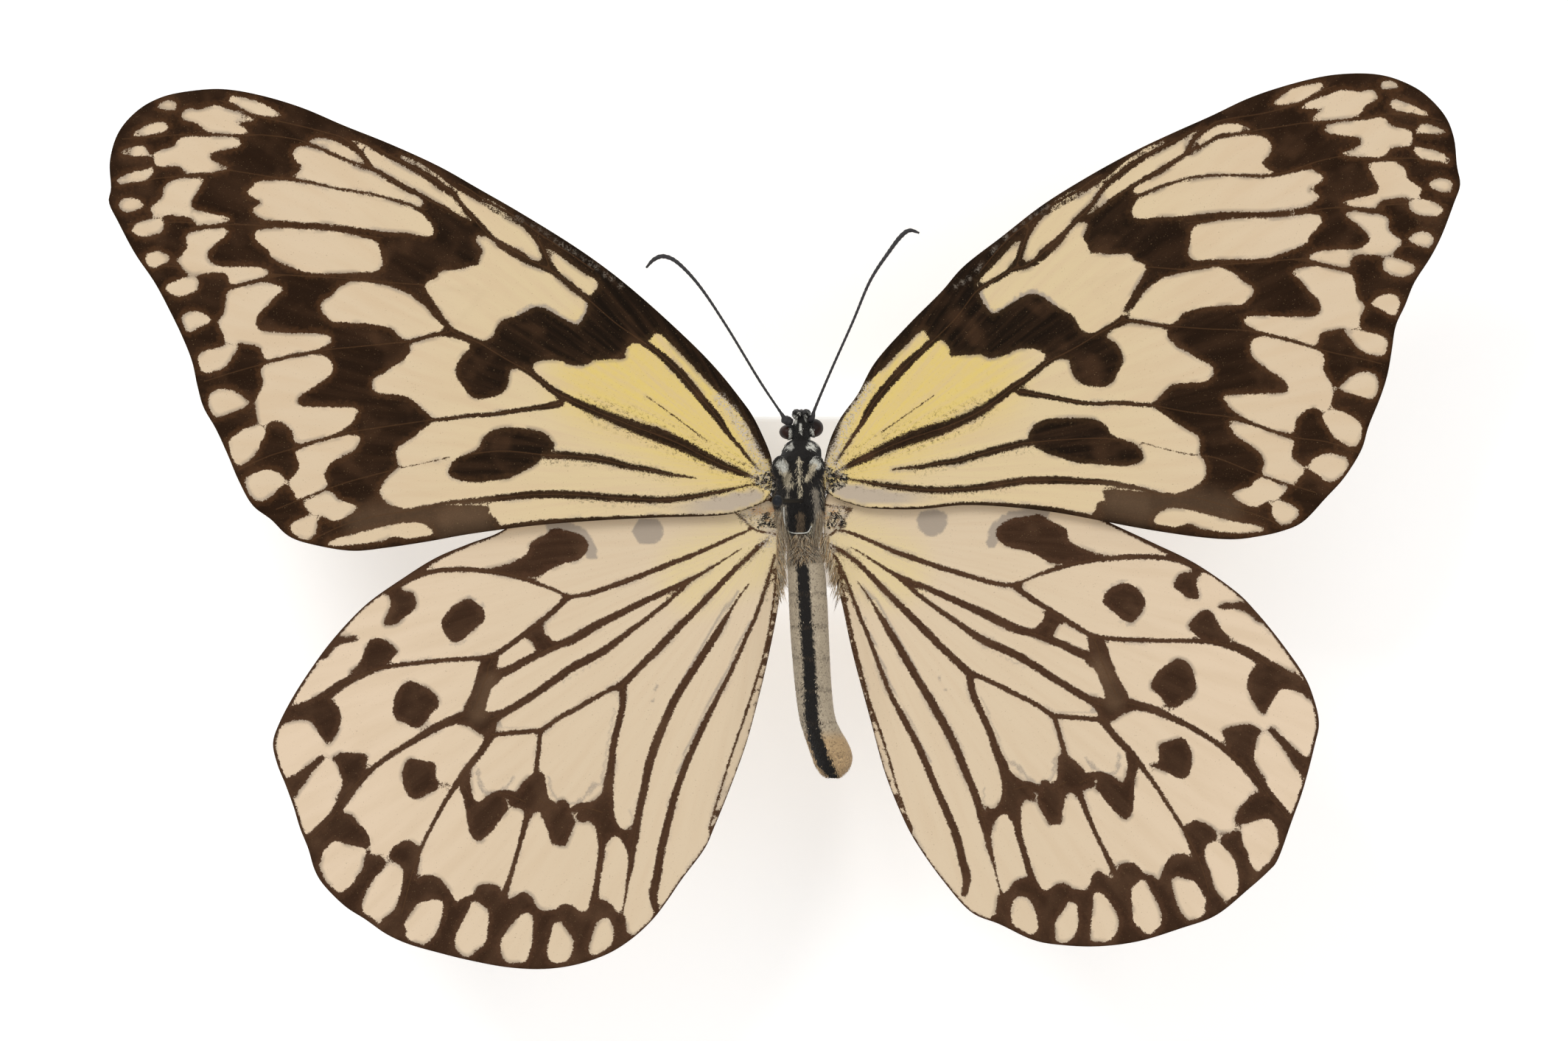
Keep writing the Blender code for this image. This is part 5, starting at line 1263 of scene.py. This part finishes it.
def wingHeight(spots, margin, root, folded):
    reach = np.maximum(spots[:, 0] - wingBuild["root"], 0)
    height = root + wingBuild["rise"] * reach - wingBuild["camber"] * reach ** 2
    if folded:
        fold = wingBuild["fold"]
        innerEdge = margin[-fold["edgePoints"]:]
        innerEdge = innerEdge[np.argsort(innerEdge[:, 1])]
        edge = np.interp(spots[:, 1], innerEdge[:, 1], innerEdge[:, 0])
        share = np.clip(1 - (spots[:, 0] - edge) / fold["reach"], 0, 1)
        growth = np.clip((fold["front"] - spots[:, 1]) / fold["growth"], 0, 1)
        fade = np.clip((spots[:, 1] - fold["back"]) / fold["fade"], 0, 1)
        height = height - fold["depth"] * share ** 2 * growth * fade
    return height


def drawWing(design, margin, bend):
    # the mesh in plan, with the distances and amounts that the material reads
    def drawn(numbers, width, closed=False):
        return bend(smoothLine(tenths(numbers, width), wingBuild["edgeStep"], closed))

    shapes = {kind: [drawn(ring, 2, True) for ring in design[kind]] for kind in ("dark", "pale", "blobs")}
    strokes = [drawn(line, 3) for line in design["strokes"]]
    veins = [drawn(line, 2) for line in design["veins"]]
    rings = [np.vstack([ring, ring[:1]]) for kind in shapes.values() for ring in kind]
    spots, faces = wingMesh(margin, rings + strokes + veins)

    def spread(marks):
        amount = np.zeros(len(spots))
        for strength, solid, soft, line in marks:
            gap = lineDistance(spots, drawn(line, 2))
            amount = np.maximum(amount, strength * (1 - ease(gap, solid / 10, soft / 10)))
        return amount

    bulk = vein = np.full(len(spots), fieldReach)
    for ring in shapes["dark"]:
        bulk = np.minimum(bulk, shapeDistance(spots, ring))
    for ring in shapes["pale"]:
        bulk = np.maximum(bulk, -shapeDistance(spots, ring))
    for ring in shapes["blobs"]:
        bulk = np.minimum(bulk, shapeDistance(spots, ring))
    dark = bulk
    for line in strokes:
        dark = np.minimum(dark, strokeDistance(spots, line))
        vein = np.minimum(vein, strokeDistance(spots, line * (1, 1, 0)))
    for line in veins:
        vein = np.minimum(vein, lineDistance(spots, line))
    border = np.array(design["border"]) / (1, 10)
    shares = np.linspace(0, 1, len(margin) + 1)
    widths = np.interp(shares, border[:, 0], border[:, 1])
    edge = lineDistance(spots, np.vstack([margin, margin[:1]]), widths)
    reach, line = design["warm"]
    warm = 1 - ease(lineDistance(spots, drawn(line, 2)), reach * 0.3, reach)
    # The lilac tint, in part painted shade where the wings overlap, fading out away from the body.
    lilacTintAndOverlapShade = np.zeros(len(spots))
    for ring in design["lilacTintAndOverlapShade"]:
        lilacTintAndOverlapShade = np.maximum(lilacTintAndOverlapShade, 1 - ease(shapeDistance(spots, drawn(ring, 2, True)), -0.15, 0.1))
    lilacTintAndOverlapShade = lilacTintAndOverlapShade * (1 - ease(spots[:, 0], *design["lilacTintAndOverlapShadeFade"]))
    return spots, faces, {
        "dark": np.minimum(dark, edge), "bulk": np.minimum(bulk, edge + wingBuild["bulkGap"]), "vein": vein,
        "ghost": spread(design["ghosts"]), "warm": warm, "lilacTintAndOverlapShade": lilacTintAndOverlapShade, "rust": spread(design["rusts"]),
        "fade": spread(design["fades"]), "dust": spread(design["dusts"]), "soot": spread(design["soots"])}


def buildWing(kind, side, sign):
    plan = wings[kind]
    design = plan["drawing"]
    # the right wing keeps its own margin, and the rest is bent from the left one
    outline, bend = design["margin"], np.array
    if side == "right":
        outline, bend = plan["rightMargin"], thinPlate(tenths(design["pairs"], 4), wingBuild["slack"])
    margin = smoothLine(tenths(outline, 2), wingBuild["edgeStep"], closed=True)
    spots, faces, values = drawWing(design, margin, bend)
    height = wingHeight(spots, margin, plan["height"], plan["folded"])
    rise = wingBuild["veinRise"] * (1 - ease(values["vein"], 0, wingBuild["veinReach"]))
    nearVein = np.minimum(values["vein"], wingBuild["pleatReach"])
    pleat = wingBuild["pleat"] * np.sin(nearVein * math.pi / wingBuild["pleatReach"])
    tops = height - pleat + rise + wingBuild["thickness"] / 2
    values["rise"] = rise
    bm = bmesh.new()
    layers = {key: bm.verts.layers.float.new(key) for key in values}
    for k, (x, y) in enumerate(spots):
        made = bm.verts.new((sign * x * mm, y * mm, tops[k] * mm))
        for key, numbers in values.items():
            made[layers[key]] = numbers[k]
    bm.verts.ensure_lookup_table()
    for face in faces:
        bm.faces.new([bm.verts[k] for k in face])
    bmesh.ops.delete(bm, geom=[v for v in bm.verts if not v.link_faces], context="VERTS")
    under = bmesh.ops.extrude_face_region(bm, geom=list(bm.faces))["geom"]
    for v in under:
        if isinstance(v, bmesh.types.BMVert):
            v.co.z -= (wingBuild["thickness"] + wingBuild["underRise"] * v[layers["rise"]]) * mm
    bmesh.ops.recalc_face_normals(bm, faces=bm.faces)
    wing = finishPiece(bm, kind + "_membrane_" + side, plan["material"])
    print(wing.name, len(wing.data.polygons), "faces")
    return carry(wing, "wing", kind + "_" + side)


# Inks that all wings share.
wingInk = {
    # the first ink is a lilac grey, in part painted shade where the forewing lies over the hindwing
    "lilacTintAndOverlapShade": (186, 170, 150), "rust": (196, 148, 96), "fleck": (120, 96, 66), "halo": (150, 134, 116),
    "rim": (172, 156, 138), "ghost": (166, 152, 136), "soot": (58, 44, 34), "fade": (112, 88, 66),
    "core": (84, 58, 36), "spark": (128, 106, 76), "dust": (196, 182, 164),
}
# Spots on the wings: scale, detail and roughness of a noise, the two levels they show between, strength.
wingSpots = {
    "fleck": (9000.0, 1.0, 0.5, 0.71, 0.78, 0.6), "halo": (420.0, 1.0, 0.5, 0.45, 0.6, 0.6),
    "rim": (300.0, 2.0, 0.5, 0.54, 0.64, 0.5), "broad": (260.0, 2.0, 0.5, 0.52, 0.72, 0.45),
    "spark": (8600.0, 1.0, 0.5, 0.7, 0.77, 0.6), "dust": (5600.0, 3.0, 0.6, 0.42, 0.6, 1.0),
    "streak": (1.0, 3.0, 0.5, 0.35, 0.75, 0.5),
}
# Levels a value shows between, and where given the strength at each.
wingLevels = {
    "cover": (0.04, -0.05), "outer": (0.016, 0.05), "warm": (-0.3, 0.2, 0.75, 1.0), "halo": (0.42, 0.05),
    "rim": (0.34, 0.1), "ghost": (0.3, 0.9, 0.0, 0.95), "soot": (0.08, 0.2), "deep": (-0.1, -0.8),
    "core": (0.09, 0.03, 0.0, 0.45),
}
wingNoise = {"fine": (9500.0, 2.0, 0.6), "coarse": (2600.0, 2.0, 0.5), "ribs": (2500, 9000, 2500)}
# How far noise roughens the edges of the dark scales, and the ghosts.
wingJag = {"fine": 0.46, "coarse": 0.26, "soot": 1.3, "ghost": 0.8}
# The streaks that fan out from the wing's root.
wingRays = {"rootX": 3.0, "turn": 34.0, "reach": 110.0, "onScales": 0.6}


def makeWingMaterial(name, rootY, tones):
    material, tree, shader = newMaterial(name)
    tint = {key: linear(*ink) for key, ink in {**wingInk, **tones}.items()}
    place = objectPlace(tree)

    def noiseOn(key):
        return maths(tree, "SUBTRACT", noiseAt(tree, place, *wingNoise[key]), 0.5)

    def level(key, value):
        return remap(tree, value, *wingLevels[key])

    def spotsOn(key):
        return speckle(tree, place, *wingSpots[key])

    def layered(colour, *layers):
        for ink, amount in layers:
            colour = blendColour(tree, amount, colour, tint[ink])
        return colour

    dark, soot = readValue(tree, "dark"), readValue(tree, "soot")
    fine, coarse = noiseOn("fine"), noiseOn("coarse")
    jag = plus(tree, times(tree, fine, wingJag["fine"]), times(tree, coarse, wingJag["coarse"]))
    jag = times(tree, jag, maths(tree, "MULTIPLY_ADD", soot, wingJag["soot"], 1.0))
    cover = level("cover", plus(tree, dark, jag))
    mirrored = addNode(tree, "VectorMath", {0: place}, operation="ABSOLUTE").outputs[0]
    across = addNode(tree, "SeparateXYZ", {0: mirrored}).outputs[0]
    outer = level("outer", across)

    sideways = maths(tree, "SUBTRACT", across, wingRays["rootX"] * mm)
    forward = maths(tree, "SUBTRACT", addNode(tree, "SeparateXYZ", {0: place}).outputs[1], rootY * mm)
    angle = maths(tree, "ARCTAN2", forward, sideways)
    reach = maths(tree, "SQRT", plus(tree, times(tree, sideways, sideways), times(tree, forward, forward)))
    ray = {0: times(tree, angle, wingRays["turn"]), 1: times(tree, reach, wingRays["reach"])}
    streak = speckle(tree, addNode(tree, "CombineXYZ", ray).outputs[0], *wingSpots["streak"])

    warm = times(tree, readValue(tree, "warm"), level("warm", coarse))
    halo = times(tree, level("halo", readValue(tree, "bulk")), spotsOn("halo"))
    rim = times(tree, level("rim", plus(tree, dark, fine)), spotsOn("rim"))
    ghost = level("ghost", plus(tree, readValue(tree, "ghost"), times(tree, fine, wingJag["ghost"])))
    sooty = times(tree, soot, level("soot", plus(tree, fine, coarse)))
    # The lilac layer is in part painted shade where the wings overlap.
    membrane = layered(
        blendColour(tree, outer, tint["inner"], tint["outer"]), ("warm", warm), ("shade", streak),
        ("lilacTintAndOverlapShade", readValue(tree, "lilacTintAndOverlapShade")), ("rust", readValue(tree, "rust")), ("fleck", spotsOn("fleck")),
        ("halo", halo), ("rim", rim), ("ghost", ghost), ("soot", sooty))

    deep = level("deep", plus(tree, dark, coarse))
    close = blendColour(tree, deep, tint["edgeInner"], tint["deepInner"])
    far = blendColour(tree, deep, tint["edgeOuter"], tint["deepOuter"])
    core = level("core", readValue(tree, "vein"))
    scales = layered(
        blendColour(tree, outer, close, far), ("worn", times(tree, streak, wingRays["onScales"])),
        ("worn", spotsOn("broad")), ("fade", readValue(tree, "fade")), ("core", core),
        ("spark", spotsOn("spark")))
    scales, height = grain(tree, scales, 9000.0, 0.4)
    dusty = times(tree, readValue(tree, "dust"), spotsOn("dust"))
    surface = layered(blendColour(tree, cover, membrane, scales), ("dust", dusty))
    finishShader(tree, shader, surface, {"Roughness": 0.62, "Specular IOR Level": 0.06})
    stretched = addNode(tree, "Mapping", {"Vector": place, "Scale": wingNoise["ribs"]}).outputs[0]
    bump(tree, shader, plus(tree, times(tree, height, 0.5), noiseAt(tree, stretched, 1.0)), 0.35, 0.03)
    return material


wings = {
    "forewing": {
        "drawing": forewing, "rightMargin": rightForewingMargin, "height": 26.75, "folded": False,
        "rootY": 2.2,
        "tones": {"inner": (218, 196, 153), "outer": (218, 196, 166), "warm": (222, 196, 116),
                  "shade": (211, 184, 150), "worn": (80, 55, 36), "edgeInner": (46, 32, 17),
                  "deepInner": (22, 13, 5), "edgeOuter": (69, 44, 24), "deepOuter": (38, 22, 9)}},
    "hindwing": {
        "drawing": hindwing, "rightMargin": rightHindwingMargin, "height": 25.45, "folded": True,
        "rootY": -3.0,
        "tones": {"inner": (218, 197, 167), "outer": (227, 204, 176), "warm": (221, 200, 151),
                  "shade": (213, 189, 158), "worn": (92, 67, 48), "edgeInner": (73, 49, 33),
                  "deepInner": (58, 38, 24), "edgeOuter": (71, 48, 32), "deepOuter": (54, 35, 22)}},
}
for kind, plan in wings.items():
    plan["material"] = makeWingMaterial(kind + "Scales", plan["rootY"], plan["tones"])

# Hair on the wings: at the forewing's root, the hindwing's root and along the hindwing's inner fold.
wingHair = {
    "root": {"wing": "forewing", "count": 1100, "across": (2.3, 4.3), "along": (0.6, 3.4),
             "length": (0.16, 0.34), "width": 0.036, "lift": 0.08, "swing": 0.6, "spread": 2.2,
             "ink": ("black", "black", "umber", "black", "cream", "black", "grey"), "clump": 3.6},
    "back": {"wing": "hindwing", "count": 420, "across": (2.4, 4.2), "along": (-2.7, -1.0),
             "length": (0.2, 0.4), "width": 0.034, "lift": 0.08, "swing": 0.5, "spread": 1.2,
             "ink": ("black", "umber", "cream", "black", "buff"), "clump": 3.0},
    "fold": {"wing": "hindwing", "count": 2600, "across": (1.4, 3.9), "along": (-9.6, -3.0),
             "length": (0.7, 1.8), "width": 0.024, "lift": 0.04, "swing": 0.16, "spread": -0.22,
             "ink": ("ash", "buff", "cream", "buff", "umber")},
}
wingHairBuild = {"left": {"seed": 53}, "right": {"seed": 59}, "near": 0.3, "raised": 0.02, "lean": 0.9}
innerEdge = {"left": ((-13.6, 2.9), (-10.4, 2.3), (-7.6, 2.0), (-4.0, 2.0)),
             "right": ((-13.3, 4.6), (-10.4, 4.0), (-7.6, 3.3), (-5.6, 2.8), (-4.0, 2.2))}


def growsAt(label, x, y, edge, random):
    if label == "root":
        return abs(y - 2.0) < 1.3 - 0.4 * (x - 2.3)
    if label == "back":
        return x + 0.8 * y < 2.6
    return x - np.interp(y, edge[:, 0], edge[:, 1]) < 0.45 and random.random() < (y + 9.8) / 6


def wingRoots(label, wing, side, sign, random):
    # places on a wing's upper side within a stretch of x and y
    plan, edge, build = wingHair[label], np.array(innerEdge[side]), wingHairBuild
    tops = spotsOf(wing.data.vertices)
    roots = []
    for k in range(plan["count"]):
        x, y = random.uniform(*plan["across"]), random.uniform(*plan["along"])
        gaps = np.hypot(tops[:, 0] - sign * x, tops[:, 1] - y)
        if gaps.min() < build["near"] and growsAt(label, x, y, edge, random):
            spot = tops[np.argmin(gaps - build["raised"] * tops[:, 2])]
            turn = quarterTurn - sign * build["lean"]
            roots.append((Vector((sign * x, y, spot[2])), Vector((0, 0, 1)), turn))
    return roots


for side, sign in bothSides:
    made = {kind: buildWing(kind, side, sign) for kind in wings}
    random = np.random.default_rng(wingHairBuild[side]["seed"])
    for label, plan in wingHair.items():
        roots = wingRoots(label, made[plan["wing"]], side, sign, random)
        growTufts("hair_" + label + "_" + side, plan, roots, random)
print("wings made")


# The pin: a black lacquered shaft with a ball head.
pinPlan = {
    "foot": (0.0, 0.0, 28.75), "top": (-2.32, 0.0, 34.90), "shaft": 0.21, "head": 0.55,
    "steps": 8, "sides": 24,
    "shaftLook": {"colour": (20, 20, 22), "grain": (4000.0, 0.25), "bump": (0.15, 0.01),
                  "finish": {"Roughness": 0.5, "Specular IOR Level": 0.15}},
    "headLook": {"colour": (30, 32, 36), "grain": (4000.0, 0.25), "bump": (0.15, 0.01),
                 "finish": {"Roughness": 0.4, "Specular IOR Level": 0.15}},
}
foot, top = Vector(pinPlan["foot"]), Vector(pinPlan["top"])
stations = [(*foot.lerp(top, k / pinPlan["steps"]), pinPlan["shaft"]) for k in range(pinPlan["steps"] + 1)]
shaftMaterial = makePlainMaterial("pinShaft", pinPlan["shaftLook"])
carry(buildTube("pin_shaft", stations, pinPlan["sides"], shaftMaterial), "pin", "pin")
bm = bmesh.new()
place = Matrix.Translation(top * mm)
bmesh.ops.create_icosphere(bm, subdivisions=4, radius=pinPlan["head"] * mm, matrix=place)
carry(finishPiece(bm, "pin_ball", makePlainMaterial("pinHead", pinPlan["headLook"])), "pin")

# The stand: a rounded plate with an eased edge and a turned rod, whose foot is given as heights and radii.
stand = {
    "width": 46.0, "depth": 17.0, "height": 5.0, "corner": 3.0, "ease": 0.6,
    "rodFoot": ((5.02, 0.95), (5.5, 0.95), (5.6, 0.75)), "rodSteps": 10, "rodSides": 32, "gap": 0.15,
    # The plate's white paint also glows a little: painted light that lifts the shade the wings cast on it.
    "plateGlowLook": {"colour": (249, 249, 248), "grain": (3000.0, 0.06), "bump": (0.12, 0.02),
                  "finish": {"Roughness": 0.6, "Metallic": 0.0, "Emission Color": linear(250, 250, 250),
                             "Emission Strength": 0.16}},
    "rodLook": {"colour": (190, 190, 192), "grain": (5000.0, 0.06), "bump": (0.12, 0.02),
                "finish": {"Roughness": 0.32, "Metallic": 1.0}},
}
bm = bmesh.new()
size = Matrix.Diagonal((stand["width"] * mm, stand["depth"] * mm, stand["height"] * mm, 1))
bmesh.ops.create_cube(bm, size=1.0, matrix=Matrix.Translation((0, 0, stand["height"] * mm / 2)) @ size)
upright = [e for e in bm.edges if abs(e.verts[0].co.z - e.verts[1].co.z) > mm]
bmesh.ops.bevel(bm, geom=upright, offset=stand["corner"] * mm, segments=10, profile=0.5,
                affect="EDGES", material=-1)
rims = [e for e in bm.edges if min(v.co.z for v in e.verts) > (stand["height"] - 1) * mm]
bmesh.ops.bevel(bm, geom=rims, offset=stand["ease"] * mm, segments=4, profile=0.5,
                affect="EDGES", material=-1)
bmesh.ops.recalc_face_normals(bm, faces=bm.faces)
# the plate's material carries the painted glow
plate = finishPiece(bm, "stand_plate", makePlainMaterial("standPaintGlow", stand["plateGlowLook"]), smooth=False)
carry(plate, "base", "stand_base")
middle, height = bodyAt(0.0)[2:]
rodTop = middle - height - stand["gap"]
rodLow, radius = stand["rodFoot"][-1]
stations = [(0, 0, z, r) for z, r in stand["rodFoot"]]
for k in range(1, stand["rodSteps"] + 1):
    stations.append((0, 0, rodLow + (rodTop - rodLow) * k / stand["rodSteps"], radius))
rodMaterial = makePlainMaterial("standSteel", stand["rodLook"])
carry(buildTube("stand_post", stations, stand["rodSides"], rodMaterial), "rod", "stand_rod")
print("pin and stand made")

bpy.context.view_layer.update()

# Floor, light and camera, in metres but for the picture's middle.
stage = {
    "floor": 2.2, "cameraHeight": 0.8655, "lens": 200.0, "sensor": 36.0, "farthest": 10,
    "middle": (-1.70, -1.88),
    "paper": {"Base Color": linear(248, 248, 248), "Roughness": 0.9, "Emission Color": (1, 1, 1, 1),
              "Emission Strength": 0.3},
    "room": {"Color": (1, 1, 1, 1), "Strength": 0.62},
    "aim": (0, 0, 0.02),
    "lights": {"keyLight": {"place": (-0.35, 0.45, 0.75), "size": 0.35, "power": 2.6},
               "fillLight": {"place": (0.45, 0.1, 0.7), "size": 0.5, "power": 0.9},
               "lowLight": {"place": (0.05, -0.5, 0.6), "size": 0.5, "power": 0.6}},
}
floorMaterial, tree, shader = newMaterial("floorPaper")
for name, value in stage["paper"].items():
    shader.inputs[name].default_value = value
bm = bmesh.new()
bmesh.ops.create_grid(bm, x_segments=2, y_segments=2, size=stage["floor"] / 2)
floor = finishPiece(bm, "floor", floorMaterial, smooth=False)

scene = bpy.context.scene
for name, plan in stage["lights"].items():
    lamp = bpy.data.lights.new(name, "AREA")
    lamp.shape = "DISK"
    lamp.size = plan["size"]
    lamp.energy = plan["power"]
    light = bpy.data.objects.new(name, lamp)
    light.location = plan["place"]
    light.rotation_euler = (Vector(stage["aim"]) - Vector(plan["place"])).to_track_quat("-Z", "Y").to_euler()
    scene.collection.objects.link(light)

world = bpy.data.worlds.new("paleRoom")
world.use_nodes = True
for name, value in stage["room"].items():
    world.node_tree.nodes["Background"].inputs[name].default_value = value
scene.world = world
scene.view_settings.view_transform = "Standard"

camera = bpy.data.objects.new("camera", bpy.data.cameras.new("camera"))
camera.data.lens = stage["lens"]
camera.data.sensor_width = stage["sensor"]
camera.data.clip_end = stage["farthest"]
camera.location = (stage["middle"][0] * mm, stage["middle"][1] * mm, stage["cameraHeight"])
scene.collection.objects.link(camera)
scene.camera = camera
